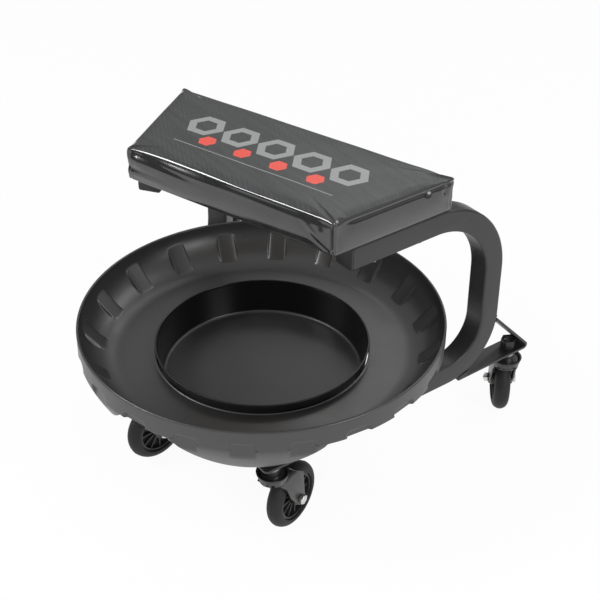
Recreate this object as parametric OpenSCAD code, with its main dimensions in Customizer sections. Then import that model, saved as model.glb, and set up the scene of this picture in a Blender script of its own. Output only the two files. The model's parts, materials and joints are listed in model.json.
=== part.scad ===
// Low rolling work seat: an upholstered seat on two C-shaped tubes, over a round
// tool tray with a lift-out parts pan, on four swivel casters.
// Millimetres, +Z up, +Y to the back. The floor is z = 0 and the origin is below the middle.

/* [Seat] */
// How far the seat's sides stand out past the middle of each tube
seat_overhang = 12.6; // [12:0.1:16]
// Depth of the seat from front to back
seat_d = 147; // [135:1:170]
// Thickness of the upholstered seat at its edge
seat_t = 34; // [26:1:44]
// Height of the cushion's crown above its edge
seat_crown = 3; // [1:0.5:8]
// How far the seat's middle is behind the middle of the tray
seat_back_set = 18; // [14:1:22]
// Thickness of the plywood board in the seat
board_t = 9; // [6:1:14]

/* [Frame tubes] */
// Width of the square tube
tube_w = 25.4; // [22:0.2:27]
// Wall of the square tube
tube_wall = 2; // [1.2:0.2:3]
// Angle by which each C opens outwards to the back
splay = 17.5; // [15:0.5:20]
// Distance from the middle of the tray to the middle of each tube
tube_distance = 130; // [129:0.5:136]
// Height of the middle of the upper arm above the floor
arm_z = 328.2; // [300:0.5:360]
// Height of the middle of the lower leg above the floor
leg_z = 122.5; // [120:0.5:124]
// Where the back of the C stands, along the tube from the tray's middle
tube_back = 209.5; // [205:0.5:225]
// Bend radius at the top of the C, to the middle of the tube
top_bend_r = 87.7; // [60:0.5:95]
// Bend radius at the bottom of the C, to the middle of the tube
bottom_bend_r = 56.7; // [45:0.5:70]

/* [Brackets] */
// Thickness of the flat bar in the caster brackets and cross straps
bar_t = 3; // [2:0.5:4]
// Where each rear bracket starts under the C, along the tube's line
bracket_front = 169; // [150:1:172]
// How far each rear bracket reaches back along the tube's line
bracket_back = 277; // [275:1:290]
// Height of the rear brace's upper end above the floor
brace_top_z = 172; // [160:1:178]
// Distance of each cross strap from the middle of the tray
strap_offset = 62; // [50:1:75]

/* [Tray] */
// Outer radius of the tray
tray_r = 203; // [202:1:206]
// Height of the tray's rim above the floor
tray_rim_z = 189; // [188:0.5:190]
// Wall of the moulded tray
tray_wall = 3; // [2:0.5:3.5]
// Radius of the bowl's hollow curve
bowl_r = 43; // [41:0.5:44]
// Height of the skirt below the rim
skirt_h = 24.5; // [20:0.5:28]
// Number of flat blocks round the inside of the bowl
block_count = 19; // [12:1:21]
// Width of a block's flat face
block_w = 21; // [14:1:24]
// Number of tread hollows round the outside of the skirt
tread_count = 21; // [12:1:24]
// Width of a tread hollow
tread_w = 29; // [20:1:34]
// Depth of a tread hollow
tread_depth = 3.5; // [2:0.5:4]
// How far the lobe over each front caster hangs below the skirt
lobe_drop = 35.5; // [20:0.5:37]
// Width of each lobe
lobe_w = 164; // [120:1:180]
// How far each lobe leans in from the skirt to its lower edge
lobe_lean = 17.5; // [12:0.5:22]
// Angle of each lobe from the tray's side towards the front
lobe_turn = 57.5; // [50:0.5:65]

/* [Parts pan] */
// How far the pan's mouth lies inside the middle of each tube
pan_inset = 12; // [12:0.5:18]
// How much narrower the pan's floor is than its mouth, on each side
pan_draft = 5.6; // [5:0.1:12]
// Height that the pan's rim stands above the tray's floor
pan_proud = 10.5; // [6:0.1:20]
// Wall of the pressed pan
pan_wall = 1.2; // [0.8:0.1:1.6]

/* [Casters] */
// Diameter of the wheels
wheel_d = 77; // [72:0.5:78]
// Width of the tyres
tyre_w = 19; // [16:0.5:20]
// How far the axle trails behind the swivel
trail = 33; // [28:0.5:36]
// Thickness of the fork's steel
fork_t = 2.2; // [1.6:0.2:2.6]
// Swivel of the front casters from the tray's middle, along the tube's line
front_swivel = -80; // [-90:1:-78]
// Swivel of the rear casters from the tray's middle, along the tube's line
rear_swivel = 258; // [254:1:260]
// Turn of the front right caster
front_right_turn = 1; // [-60:1:60]
// Turn of the front left caster
front_left_turn = -12; // [-60:1:60]
// Turn of each rear caster, to either side
rear_turn = 33; // [0:1:60]

/* [Hidden] */
$fn = 64;

// Clearances and overruns
slack = 0.3;          // between parts that lie loosely on each other
run_clear = 0.05;     // between a turning hub and its sleeve
hole_clear = 0.3;     // round a bolt's shank
overrun = 1;          // by which a cut passes its wall

// Tubes
tube_corner_r = 2.6;                       // outer corner of the square tube
leg_front = -62;                           // leg cap's front, along the tube's line
arm_top = arm_z + tube_w / 2;
arm_bottom = arm_z - tube_w / 2;
leg_top = leg_z + tube_w / 2;
leg_bottom = leg_z - tube_w / 2;
cap_t = 2.5;                               // end cap's outer plate
cap_plug_gap = 0.3;
cap_plug = 10;                             // depth of its plug in the tube
cap_plug_wall = 1.6;

// Seat
seat_corner_r = 10;
seat_edge_r = 5;                           // roll of the cushion's top edge
seat_hem = 1.4;                            // roll of its bottom edge
seat_puff = 1.6;                           // swell of its sides between the corners
board_inset = 4.5;                         // plywood's edge inside the vinyl
seat_front = seat_back_set - seat_d / 2;   // from the middle of the tray
seat_back = seat_back_set + seat_d / 2;
seat_z = arm_top + slack;                  // underside of the vinyl hem
pocket_gap = 2;                            // room over the board for the tee nuts
seat_bolt_r = 3;
arm_set_back = 24.4;                       // arm cap's front, behind the seat's front edge
arm_front = along_line(seat_front + arm_set_back);
seat_bolt_shares = [0.4, 0.79];            // of the seat's depth
seat_bolt_places = [for (share = seat_bolt_shares) along_line(seat_front + seat_d * share)];
seat_bolt_head_r = 5.8;
seat_bolt_head_h = 4;
washer_t = 1.6;
washer_r = 8;
tee_gap = 0.3;                             // between a tee nut and the cushion's pocket
tee_r = seat_overhang - board_inset - tee_gap;
tee_t = 1.2;
tee_barrel_r = 4;

// Brackets
bar_w = tube_w;
bar_top = leg_bottom;                      // bars are welded under the legs
bar_bottom = bar_top - bar_t;
plate_nose = 17;                           // front plate's end, before the swivel
plate_lap = 26;                            // its lap under the leg
plate_corner_r = 5;
plate_front = front_swivel - plate_nose;
plate_back = leg_front + plate_lap;
fold_r = 5;                                // outer radius of the rear fold
fold_steps = 8;
weld_l = 6;                                // weld at the bracket's front end, up to the bend

// Tray
bowl_mid_r = tray_r - tray_wall - bowl_r;  // radius at which the bowl's curve meets its floor
bowl_z = tray_rim_z - tray_wall / 2;       // height of the bowl curve's centre
tray_floor_z = bowl_z - bowl_r;
skirt_bottom_z = tray_rim_z - skirt_h;
hole_clearance = 0.9;                      // round the pan
collar_gap = 1.3;                          // hole's turned-down collar ends this far over the legs
collar_bottom = leg_top + collar_gap;
block_top_angle = 17;                      // block's ends on the bowl's curve, from level
block_end_angle = 66.7;
block_mid_angle = (block_top_angle + block_end_angle) / 2;
block_face = bowl_r * cos((block_end_angle - block_top_angle) / 2);
block_root = bowl_r + tray_wall;
block_draft = 3.2;                         // by which a block widens on each side at its root
block_turn = 7.7;                          // first block's azimuth
tread_turn = -41.2;                        // first tread hollow's azimuth
tread_band = 16.5;                         // smooth band from the rim to the hollows
tread_top_z = tray_rim_z - tread_band;
tread_corner_r = 5;
tread_face = tray_r - tread_depth;
wedge_shares = [1 / 4, 1 / 2, 3 / 4, 1];   // steps of the solid skirt's inner face down the bowl's wall
lobe_ledge = 0.6;                          // from the skirt's face to the top of a lobe
lobe_steps = 10;                           // from the middle of a lobe's lower edge to its end
boss_r = 7;
boss_places = [-20, 60];                   // along the tube's line
boss_hole_depth = 7;
tray_screw_gap = 0.5;                      // before the blind hole's end
tray_screw_r = 2.5;
tray_screw_head_r = 4.8;
tray_screw_head_h = 3;
screw_washer_r = 6.5;
screw_washer_t = 1.2;

// Parts pan
pan_mouth_r = tube_distance - pan_inset;   // inside its wall
pan_floor_r = pan_mouth_r - pan_draft;
strap_top = leg_bottom + bar_t;            // cross straps lie between the legs
pan_bottom = strap_top + slack;
pan_floor = pan_bottom + pan_wall;
pan_rim_z = tray_floor_z + pan_proud;
pan_corner_r = 4;
pan_bead_r = 1.1;
pan_lean_share = (tray_floor_z - pan_floor) / (pan_rim_z - pan_floor);
hole_r = pan_floor_r + (pan_mouth_r - pan_floor_r) * pan_lean_share + pan_wall + hole_clearance;

// Casters
wheel_r = wheel_d / 2;
axle_z = wheel_r;
tread_round_r = tyre_w / 2;                // the tread is a full round
tyre_base = 1.4;                           // tyre's parallel base under the round tread
rim_r = wheel_r - tread_round_r - tyre_base;
tyre_gap = 0.1;
hub_rim_t = 3;
hub_rim_w = 15;
web_t = 3;
spoke_count = 12;
spoke_t = 1.8;
spoke_w = 11;
barrel_r = 9;
fork_gap = 24;                             // width between the fork's legs
barrel_gap = 1;                            // hub's barrel to each leg
barrel_l = fork_gap - 2 * barrel_gap;
sleeve_r = 6;
axle_r = 3;
axle_head_r = 5.8;
axle_head_h = 4;
axle_nut_h = 5;
axle_tip = 1.5;                            // bolt's end past its nut
stem_drop = 23;                            // plate's underside to the crown's underside
crown_z = bar_bottom - stem_drop;
crown_top = crown_z + fork_t;
crown_r = 14.5;
cup_rim_r = 17.8;                          // raceway cup's rim
cup_h = 9;
cup_wall = 2;
fork_bend_r = 5;                           // outer radius between crown and legs
leg_boss_r = 7.5;
stem_r = 6;
stem_thread_r = 5;
rivet_r = 9;
rivet_t = 2.6;
collar_r = 8.5;
ball_r = 2.4;
ball_count = 11;
ball_pitch_r = 10.6;
ball_gap = 0.1;
race_z = crown_top + 2 * ball_r + 2 * ball_gap;
race_r = 13.6;
race_t = 2;
collar_z = race_z + race_t;
rivet_z = crown_z - slack - rivet_t;
stem_nut_r = 9.2;
stem_nut_h = 9;
lock_washer_r = 8.4;
lock_washer_t = 1.8;
stem_tip = 1;                              // thread's end under the nut's top
stem_end = bar_top + lock_washer_t + stem_nut_h - stem_tip;
// Fork leg's outline, in shares of the trail and of the crown's height over the axle
fork_front_shares = [[-0.42, 1], [-0.2, 0.97], [0.2, 0.66], [0.42, 0.28], [0.76, -0.03]];
fork_rear_shares = [[1.212, 0], [1.12, 0.76], [0.64, 1]];

// Where the line of a tube is at a distance y behind the middle of the tray, and
// a point on that line, counted from the foot of the square from the tray's middle
function along_line(y) = (y + tube_distance * sin(splay)) / cos(splay);
function on_line(s, across = 0) = [
    (tube_distance + across) * cos(splay) + s * sin(splay),
    -(tube_distance + across) * sin(splay) + s * cos(splay)];

rear_swivel_y = on_line(rear_swivel)[1];
wheel_reach = (trail + wheel_r - tread_round_r) * cos(rear_turn) + tread_round_r;
tray_y = (tray_r - rear_swivel_y - wheel_reach) / 2;  // puts the origin midway along the part

front_right = [1, front_swivel, front_right_turn];
front_left = [-1, front_swivel, front_left_turn];
rear_right = [1, rear_swivel, rear_turn];
rear_left = [-1, rear_swivel, -rear_turn];
casters = [front_right, front_left, rear_right, rear_left];
sides = [1, -1];
swivels = [front_swivel, rear_swivel];

steel = "#2b2c2e";
plastic = "#303133";
rubber = "#3a3a3a";
zinc = "#b9bcc0";
vinyl = "#242526";
ply = "#b08a5a";

// Children drawn along the right tube's line, or mirrored to the left: x across, y along it
module on_side(side) {
    translate([0, tray_y, 0])
        mirrored_to(side)
            rotate(-splay)
                translate([tube_distance, 0, 0])
                    children();
}

module mirrored_to(side) {
    if (side > 0) children();
    else mirror([1, 0, 0]) children();
}

// Children drawn about a caster's swivel axis: x along the axle, y towards the trailing wheel
module at_caster(c) {
    p = on_line(c[1]);
    translate([c[0] * p[0], tray_y + p[1], 0])
        rotate(c[2])
            children();
}

// Turns a drawing in x, y into the upright plane along y, extruded across x
module upright() {
    rotate([90, 0, 90]) children();
}

module rounded_square(w, r) {
    square([w - 2 * r, w], center = true);
    square([w, w - 2 * r], center = true);
    for (i = sides, j = sides)
        translate([i * (w / 2 - r), j * (w / 2 - r)]) circle(r);
}

// One C of tube with its ends lengthened by extra: arm, bend, back, bend and leg
module c_run(w, r, extra) {
    arm_end = tube_back - top_bend_r;
    leg_end = tube_back - bottom_bend_r;
    back_top = arm_z - top_bend_r;
    back_bottom = leg_z + bottom_bend_r;
    arm_start = arm_front + cap_t - extra;
    leg_start = leg_front + cap_t - extra;
    translate([0, arm_end, arm_z])
        rotate([90, 0, 0]) linear_extrude(arm_end - arm_start) rounded_square(w, r);
    translate([0, leg_end, leg_z])
        rotate([90, 0, 0]) linear_extrude(leg_end - leg_start) rounded_square(w, r);
    translate([0, tube_back, back_bottom])
        linear_extrude(back_top - back_bottom) rounded_square(w, r);
    translate([0, arm_end, back_top])
        upright() rotate_extrude(angle = 90) translate([top_bend_r, 0]) rounded_square(w, r);
    translate([0, leg_end, back_bottom])
        upright() rotate(-90) rotate_extrude(angle = 90)
            translate([bottom_bend_r, 0]) rounded_square(w, r);
}

module frame_tube(side) {
    color(steel)
    on_side(side) difference() {
        c_run(tube_w, tube_corner_r, 0);
        c_run(tube_w - 2 * tube_wall, tube_corner_r - tube_wall, overrun);
        for (s = seat_bolt_places)
            translate([0, s, arm_bottom - overrun])
                cylinder(h = tube_w + 2 * overrun, r = seat_bolt_r + hole_clear);
        for (s = boss_places)
            translate([0, s, leg_bottom - overrun])
                cylinder(h = tube_w + 2 * overrun, r = tray_screw_r + hole_clear);
    }
}

// A cap with its front at y = 0, whose plug fits the tube behind it
module end_cap() {
    plug_w = tube_w - 2 * tube_wall - 2 * cap_plug_gap;
    rotate([-90, 0, 0]) linear_extrude(cap_t) rounded_square(tube_w, tube_corner_r);
    rotate([-90, 0, 0]) linear_extrude(cap_t + cap_plug) difference() {
        square(plug_w, center = true);
        square(plug_w - 2 * cap_plug_wall, center = true);
    }
}

module arm_end_caps() {
    color(plastic)
    for (side = sides) on_side(side) translate([0, arm_front, arm_z]) end_cap();
}

module leg_end_caps() {
    color(plastic)
    for (side = sides) on_side(side) translate([0, leg_front, leg_z]) end_cap();
}

// Half the seat's width at a distance y behind the middle of the tray
function seat_half(y) = (tube_distance + seat_overhang + y * sin(splay)) / cos(splay);

// Centre of a corner's arc: i is 1 at the right, j is 1 at the back
function corner_mid(i, j, r) =
    let (y = j > 0 ? seat_back - r : seat_front + r)
    [i * (seat_half(y) - r / cos(splay)), y];

// The board's outline: the seat's outline drawn in by inset, its corners still round
module seat_outline(inset) {
    r = seat_corner_r - inset;
    a = splay;
    polygon([
        for (k = [[1, -1, -90], [1, -1, -a], [1, 1, -a], [1, 1, 90],
                  [-1, 1, 90], [-1, 1, 180 + a], [-1, -1, 180 + a], [-1, -1, 270]])
            corner_mid(k[0], k[1], seat_corner_r) + r * [cos(k[2]), sin(k[2])]]);
    for (i = sides, j = sides) translate(corner_mid(i, j, seat_corner_r)) circle(r);
}

module seat_board() {
    color(ply)
    translate([0, tray_y, arm_top]) difference() {
        linear_extrude(board_t) seat_outline(board_inset);
        for (side = sides, s = seat_bolt_places)
            translate([side * on_line(s)[0], on_line(s)[1], -overrun])
                cylinder(h = board_t + 2 * overrun, r = tee_barrel_r + hole_clear / 2);
    }
}

// Corner arcs and sides of the seat, as points: a corner takes arc_steps and a side edge_steps
arc_steps = 5;
edge_steps = 8;
seat_corners = [[1, -1, -90, -splay], [1, 1, -splay, 90],
    [-1, 1, 90, 180 + splay], [-1, -1, 180 + splay, 270]];
function corner_point(k, angle, inset) =
    corner_mid(k[0], k[1], seat_corner_r) + (seat_corner_r - inset) * [cos(angle), sin(angle)];
function seat_ring(inset, puff, z) = [
    for (n = [0 : 3])
        let (k = seat_corners[n], next = seat_corners[(n + 1) % 4],
            start = corner_point(k, k[3], inset), end = corner_point(next, k[3], inset),
            out = [cos(k[3]), sin(k[3])])
        each concat(
            [for (i = [0 : arc_steps]) let (p = corner_point(k, k[2] + (k[3] - k[2]) * i / arc_steps, inset))
                [p[0], p[1], z]],
            [for (i = [1 : edge_steps - 1]) let (t = i / edge_steps,
                p = start + (end - start) * t + out * puff * sin(180 * t))
                [p[0], p[1], z]])];
function drawn_in(ring, share, rise) = [
    for (p = ring) [p[0] * share, seat_back_set + (p[1] - seat_back_set) * share, p[2] + rise]];

// A foam and vinyl cushion as rings, from the pocket's ceiling out, up the sides and over the crown
module seat_cushion() {
    pocket_z = board_t + pocket_gap;
    pocket_inset = board_inset - slack;
    top_z = seat_t - seat_edge_r;
    top_edge = seat_ring(seat_edge_r, seat_puff / 2, seat_t);
    crown_shares = [0.93, 0.78, 0.55, 0.28];
    rings = concat(
        [drawn_in(seat_ring(pocket_inset, 0, pocket_z), 1 / 2, 0),
         seat_ring(pocket_inset, 0, pocket_z),
         seat_ring(pocket_inset, 0, 0),
         seat_ring(seat_hem, 0, 0),
         seat_ring(0, 0, seat_hem),
         seat_ring(0, seat_puff, seat_t / 3),
         seat_ring(0, seat_puff, seat_t * 2 / 3)],
        [for (a = [0 : 30 : 60])
            seat_ring(seat_edge_r * (1 - cos(a)), seat_puff * (1 - a / 180), top_z + seat_edge_r * sin(a))],
        [top_edge],
        [for (s = crown_shares) drawn_in(top_edge, s, seat_crown * (1 - pow(s, 4)))]);
    n = len(rings[0]);
    last = len(rings) - 1;
    points = concat([for (ring = rings) each ring],
        [[0, seat_back_set, pocket_z], [0, seat_back_set, seat_t + seat_crown]]);
    faces = concat(
        [for (k = [0 : last - 1], i = [0 : n - 1]) [k * n + i, (k + 1) * n + i, k * n + (i + 1) % n]],
        [for (k = [0 : last - 1], i = [0 : n - 1])
            [k * n + (i + 1) % n, (k + 1) * n + i, (k + 1) * n + (i + 1) % n]],
        [for (i = [0 : n - 1]) [len(points) - 2, i, (i + 1) % n]],
        [for (i = [0 : n - 1]) [len(points) - 1, last * n + (i + 1) % n, last * n + i]]);
    color(vinyl)
    translate([0, tray_y, seat_z]) polyhedron(points, faces, convexity = 4);
}

module seat_tee_nuts() {
    color(zinc)
    for (side = sides, s = seat_bolt_places)
        on_side(side) translate([0, s, arm_top]) difference() {
            union() {
                translate([0, 0, board_t]) cylinder(h = tee_t, r = tee_r);
                translate([0, 0, board_t / 3]) cylinder(h = board_t * 2 / 3, r = tee_barrel_r);
            }
            cylinder(h = board_t + tee_t + overrun, r = seat_bolt_r + run_clear);
        }
}

module seat_bolts() {
    color(zinc)
    for (side = sides, s = seat_bolt_places)
        on_side(side) translate([0, s, arm_bottom - washer_t]) {
            cylinder(h = washer_t + tube_w + board_t, r = seat_bolt_r);
            translate([0, 0, -seat_bolt_head_h])
                cylinder(h = seat_bolt_head_h, r = seat_bolt_head_r, $fn = 6);
        }
}

module washer(r, hole, t) {
    difference() {
        cylinder(h = t, r = r);
        translate([0, 0, -overrun]) cylinder(h = t + 2 * overrun, r = hole);
    }
}

module seat_bolt_washers() {
    color(zinc)
    for (side = sides, s = seat_bolt_places)
        on_side(side) translate([0, s, arm_bottom - washer_t])
            washer(washer_r, seat_bolt_r + hole_clear, washer_t);
}

// A flat bar let in between the legs, its ends cut to their splay
module cross_strap(y) {
    inner = -tube_w / 2;
    function inner_x(at) = ((tube_distance + inner) + at * sin(splay)) / cos(splay);
    front = y - bar_w / 2;
    back = y + bar_w / 2;
    color(steel)
    translate([0, tray_y, leg_bottom]) linear_extrude(bar_t)
        polygon([[-inner_x(front), front], [inner_x(front), front],
            [inner_x(back), back], [-inner_x(back), back]]);
}

module front_plate(side) {
    r = plate_corner_r;
    color(steel)
    on_side(side) translate([0, 0, bar_bottom]) difference() {
        linear_extrude(bar_t) {
            translate([-bar_w / 2, plate_front + r]) square([bar_w, plate_back - plate_front - r]);
            translate([-bar_w / 2 + r, plate_front]) square([bar_w - 2 * r, r]);
            for (i = sides) translate([i * (bar_w / 2 - r), plate_front + r]) circle(r);
        }
        translate([0, front_swivel, -overrun])
            cylinder(h = bar_t + 2 * overrun, r = stem_thread_r + hole_clear);
    }
}

// A bar under the leg, folded at the back into a brace; both are welded to the outside of the C's bend
module rear_bracket(side) {
    bend = [tube_back - bottom_bend_r, leg_z + bottom_bend_r];
    bend_r = bottom_bend_r + tube_w / 2;
    drop = bend[1] - brace_top_z;
    brace_top = [bend[0] + sqrt(bend_r * bend_r - drop * drop), brace_top_z];
    mid = [bracket_back - fold_r, bar_bottom + fold_r];
    reach = norm(brace_top - mid);
    lean = atan2(mid[0] - brace_top[0], brace_top[1] - mid[1]) + asin(fold_r / reach);
    brace_l = sqrt(reach * reach - fold_r * fold_r) + bar_t;
    inner_r = fold_r - bar_t;
    function fold_point(r, a, up) = mid + r * [cos(a), sin(a)] + up * [-sin(a), cos(a)];
    color(steel)
    on_side(side) difference() {
        upright() linear_extrude(bar_w, center = true) difference() {
            polygon(concat(
                [[bracket_front, bar_bottom]],
                [for (i = [0 : fold_steps]) fold_point(fold_r, -90 + (90 + lean) * i / fold_steps, 0)],
                [fold_point(fold_r, lean, brace_l), fold_point(inner_r, lean, brace_l)],
                [for (i = [fold_steps : -1 : 0]) fold_point(inner_r, -90 + (90 + lean) * i / fold_steps, 0)],
                [[bracket_front + weld_l, bar_top], [bracket_front + weld_l, bar_top + 2 * bar_t],
                    [bracket_front, bar_top + 2 * bar_t]]));
            translate(bend) circle(bend_r);
        }
        translate([0, rear_swivel, bar_bottom - overrun])
            cylinder(h = bar_t + 2 * overrun, r = stem_thread_r + hole_clear);
    }
}

// A flat block on the bowl's curve, with drafted sides; its root is cut off inside the wall
module bowl_block() {
    translate([bowl_mid_r, 0, bowl_z]) rotate([0, block_mid_angle, 0])
        linear_extrude(2 * bowl_r, center = true)
            polygon([[block_face, -block_w / 2], [block_root, -block_w / 2 - block_draft],
                [block_root, block_w / 2 + block_draft], [block_face, block_w / 2]]);
}

// Quarter of a disc under the bowl's centre, as far out as reach
module bowl_quarter(r, reach) {
    translate([bowl_mid_r, bowl_z]) intersection() {
        circle(r);
        translate([0, -r]) square([reach, r]);
    }
}

// A half-round edge on a wall of the tray, with its flat side down
module half_round(x, z) {
    translate([x, z]) intersection() {
        circle(tray_wall / 2);
        translate([-tray_wall / 2, 0]) square([tray_wall, tray_wall / 2]);
    }
}

// Outline of a tread hollow, open downwards past the lobes
module tread_outline() {
    r = tread_corner_r;
    bottom = skirt_bottom_z - lobe_drop - overrun;
    translate([-tread_w / 2, bottom]) square([tread_w, tread_top_z - r - bottom]);
    translate([-tread_w / 2 + r, bottom]) square([tread_w - 2 * r, tread_top_z - bottom]);
    for (i = sides) translate([i * (tread_w / 2 - r), tread_top_z - r]) circle(r);
}

// Half section of the moulding: collar, floor, bowl, rim and the skirt, solid behind the bowl's curve
module tray_section() {
    difference() {
        bowl_quarter(bowl_r + tray_wall, tray_r - bowl_mid_r - tray_wall / 2);
        bowl_quarter(bowl_r, tray_r);
    }
    translate([hole_r, tray_floor_z - tray_wall]) square([bowl_mid_r - hole_r, tray_wall]);
    translate([bowl_mid_r - tray_wall, tray_floor_z - tray_wall * 2 / 3])
        square([2 * tray_wall, tray_wall / 3]);
    translate([hole_r, collar_bottom]) square([tray_wall, tray_floor_z - collar_bottom]);
    half_round(hole_r + tray_wall / 2, tray_floor_z);
    in_wall = bowl_r + tray_wall / 2;
    lowest = asin((bowl_z - skirt_bottom_z) / in_wall);
    polygon(concat(
        [[tray_r, skirt_bottom_z], [tray_r, bowl_z], [tray_r - 3 * tray_wall / 4, bowl_z]],
        [for (share = wedge_shares)
            [bowl_mid_r + in_wall * cos(lowest * share), bowl_z - in_wall * sin(lowest * share)]]));
    half_round(tray_r - tray_wall / 2, bowl_z);
}

// Lobes of the skirt that hang over the front casters: a leaning wall cut to a parabola
module tray_lobes() {
    low = skirt_bottom_z - lobe_drop;
    top = skirt_bottom_z + tray_wall;
    half = lobe_w / 2;
    for (side = sides) mirrored_to(side) rotate(-lobe_turn) intersection() {
        rotate_extrude()
            polygon([[tray_r - lobe_ledge, top], [tray_r - lobe_ledge, skirt_bottom_z],
                [tray_r - lobe_lean, low], [tray_r - lobe_lean - tray_wall, low],
                [tray_r - lobe_ledge - tray_wall, top]]);
        upright() linear_extrude(tray_r + overrun)
            polygon(concat([[half, top + overrun], [-half, top + overrun]],
                [for (i = [-lobe_steps : lobe_steps]) let (share = i / lobe_steps)
                    [half * share, low + lobe_drop * share * share]]));
    }
}

// Bosses that reach up into the wall over them, whether that is the floor or the bowl's curve
module tray_bosses() {
    difference() {
        union() for (side = sides, s = boss_places)
            translate([side * on_line(s)[0], on_line(s)[1], leg_top])
                cylinder(h = bowl_z - tray_wall - leg_top, r = boss_r);
        rotate_extrude() {
            bowl_quarter(bowl_r + tray_wall / 2, tray_r);
            translate([0, tray_floor_z - tray_wall / 2]) square([bowl_mid_r, bowl_r + tray_wall / 2]);
        }
    }
}

// The whole moulding: a bowl inside a skirt with two lobes, blocks inside and tread hollows outside
module tray() {
    color(plastic)
    translate([0, tray_y, 0]) difference() {
        union() {
            rotate_extrude() tray_section();
            tray_bosses();
            tray_lobes();
            intersection() {
                rotate_extrude() bowl_quarter(bowl_r + tray_wall / 2, tray_r);
                union() for (k = [1 : block_count]) rotate(block_turn + 360 * k / block_count) bowl_block();
            }
        }
        for (k = [1 : tread_count])
            rotate(tread_turn + 360 * k / tread_count)
                translate([tread_face, 0, 0])
                    upright() linear_extrude(2 * tread_depth) tread_outline();
        for (side = sides, s = boss_places)
            translate([side * on_line(s)[0], on_line(s)[1], leg_top - overrun])
                cylinder(h = boss_hole_depth + overrun, r = tray_screw_r + run_clear);
    }
}

module tray_screws() {
    reach = screw_washer_t + tube_w + boss_hole_depth - tray_screw_gap;
    color(zinc)
    for (side = sides, s = boss_places)
        on_side(side) translate([0, s, leg_bottom - screw_washer_t]) {
            cylinder(h = reach, r = tray_screw_r);
            translate([0, 0, -tray_screw_head_h])
                cylinder(h = tray_screw_head_h, r = tray_screw_head_r);
        }
}

module tray_screw_washers() {
    color(zinc)
    for (side = sides, s = boss_places)
        on_side(side) translate([0, s, leg_bottom - screw_washer_t])
            washer(screw_washer_r, tray_screw_r + hole_clear, screw_washer_t);
}

// The pan's half section between its floor and rim, as a band on the given side of its wall
module pan_side(r_floor, r_mouth, z_floor) {
    polygon([[0, z_floor], [r_floor, z_floor], [r_mouth, pan_rim_z], [0, pan_rim_z]]);
}

module parts_pan() {
    corner = pan_corner_r;
    color(plastic)
    translate([0, tray_y, 0]) rotate_extrude() {
        difference() {
            pan_side(pan_floor_r + pan_wall, pan_mouth_r + pan_wall, pan_bottom);
            pan_side(pan_floor_r, pan_mouth_r, pan_floor);
        }
        difference() {
            translate([pan_floor_r - corner, pan_floor]) square([corner + pan_wall / 2, corner]);
            translate([pan_floor_r - corner, pan_floor + corner]) circle(corner);
        }
        translate([pan_mouth_r + pan_wall / 2, pan_rim_z]) circle(pan_bead_r);
    }
}

module stem_nuts() {
    color(zinc)
    for (side = sides, s = swivels) on_side(side) translate([0, s, bar_top + lock_washer_t]) difference() {
        cylinder(h = stem_nut_h, r = stem_nut_r, $fn = 6);
        translate([0, 0, -overrun]) cylinder(h = stem_nut_h + 2 * overrun, r = stem_thread_r + run_clear);
    }
}

module stem_lock_washers() {
    color(zinc)
    for (c = casters) at_caster(c) translate([0, 0, bar_top])
        washer(lock_washer_r, stem_thread_r + hole_clear, lock_washer_t);
}

// Kingpin riveted under the crown, with a collar under the bar and a thread above it
module stem(c) {
    color(zinc)
    at_caster(c) {
        translate([0, 0, rivet_z]) cylinder(h = rivet_t, r = rivet_r);
        translate([0, 0, rivet_z]) cylinder(h = collar_z - rivet_z, r = stem_r);
        translate([0, 0, collar_z]) cylinder(h = bar_bottom - collar_z, r = collar_r);
        translate([0, 0, collar_z]) cylinder(h = stem_end - collar_z, r = stem_thread_r);
    }
}

module race(c) {
    color(steel)
    at_caster(c) translate([0, 0, race_z])
        washer(race_r, stem_r + run_clear, race_t);
}

module balls(c) {
    color(zinc)
    at_caster(c)
        for (k = [1 : ball_count]) rotate(360 * k / ball_count)
            translate([ball_pitch_r, 0, crown_top + ball_r + ball_gap]) sphere(ball_r);
}

// Outline of a fork leg in the plane of the wheel: y is the trail, z the height
module fork_outline() {
    rise = crown_top - axle_z;
    function place(p) = [p[0] * trail, axle_z + p[1] * rise];
    polygon([for (p = concat(fork_front_shares, fork_rear_shares)) place(p)]);
    translate([trail, axle_z]) circle(leg_boss_r);
}

// The channel that the fork is pressed into: a crown and two legs with round shoulders
module fork_channel() {
    half = fork_gap / 2 + fork_t;
    outer = fork_bend_r;
    inner = fork_bend_r - fork_t;
    bottom = axle_z - 2 * leg_boss_r;
    difference() {
        union() {
            translate([-half, bottom]) square([2 * half, crown_top - outer - bottom]);
            translate([-half + outer, bottom]) square([2 * (half - outer), crown_top - bottom]);
            for (i = sides) translate([i * (half - outer), crown_top - outer]) circle(outer);
        }
        translate([-half + fork_t, bottom - overrun])
            square([2 * (half - fork_t), crown_z - inner - bottom + overrun]);
        translate([-half + outer, bottom - overrun])
            square([2 * (half - outer), crown_z - bottom + overrun]);
        for (i = sides) translate([i * (half - outer), crown_z - inner]) circle(inner);
    }
}

module fork(c) {
    color(steel)
    at_caster(c) difference() {
        union() {
            intersection() {
                rotate([90, 0, 0]) linear_extrude(4 * trail, center = true) fork_channel();
                upright() linear_extrude(2 * fork_gap, center = true) fork_outline();
            }
            rotate_extrude() difference() {
                polygon([[0, crown_z], [crown_r, crown_z], [cup_rim_r, crown_top + cup_h],
                    [cup_rim_r - cup_wall, crown_top + cup_h], [crown_r - cup_wall, crown_top],
                    [0, crown_top]]);
            }
        }
        translate([0, 0, crown_z - overrun])
            cylinder(h = fork_t + 2 * overrun, r = stem_r + 2 * run_clear);
        translate([-fork_gap, trail, axle_z]) rotate([0, 90, 0])
            cylinder(h = 2 * fork_gap, r = axle_r + hole_clear);
    }
}

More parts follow.
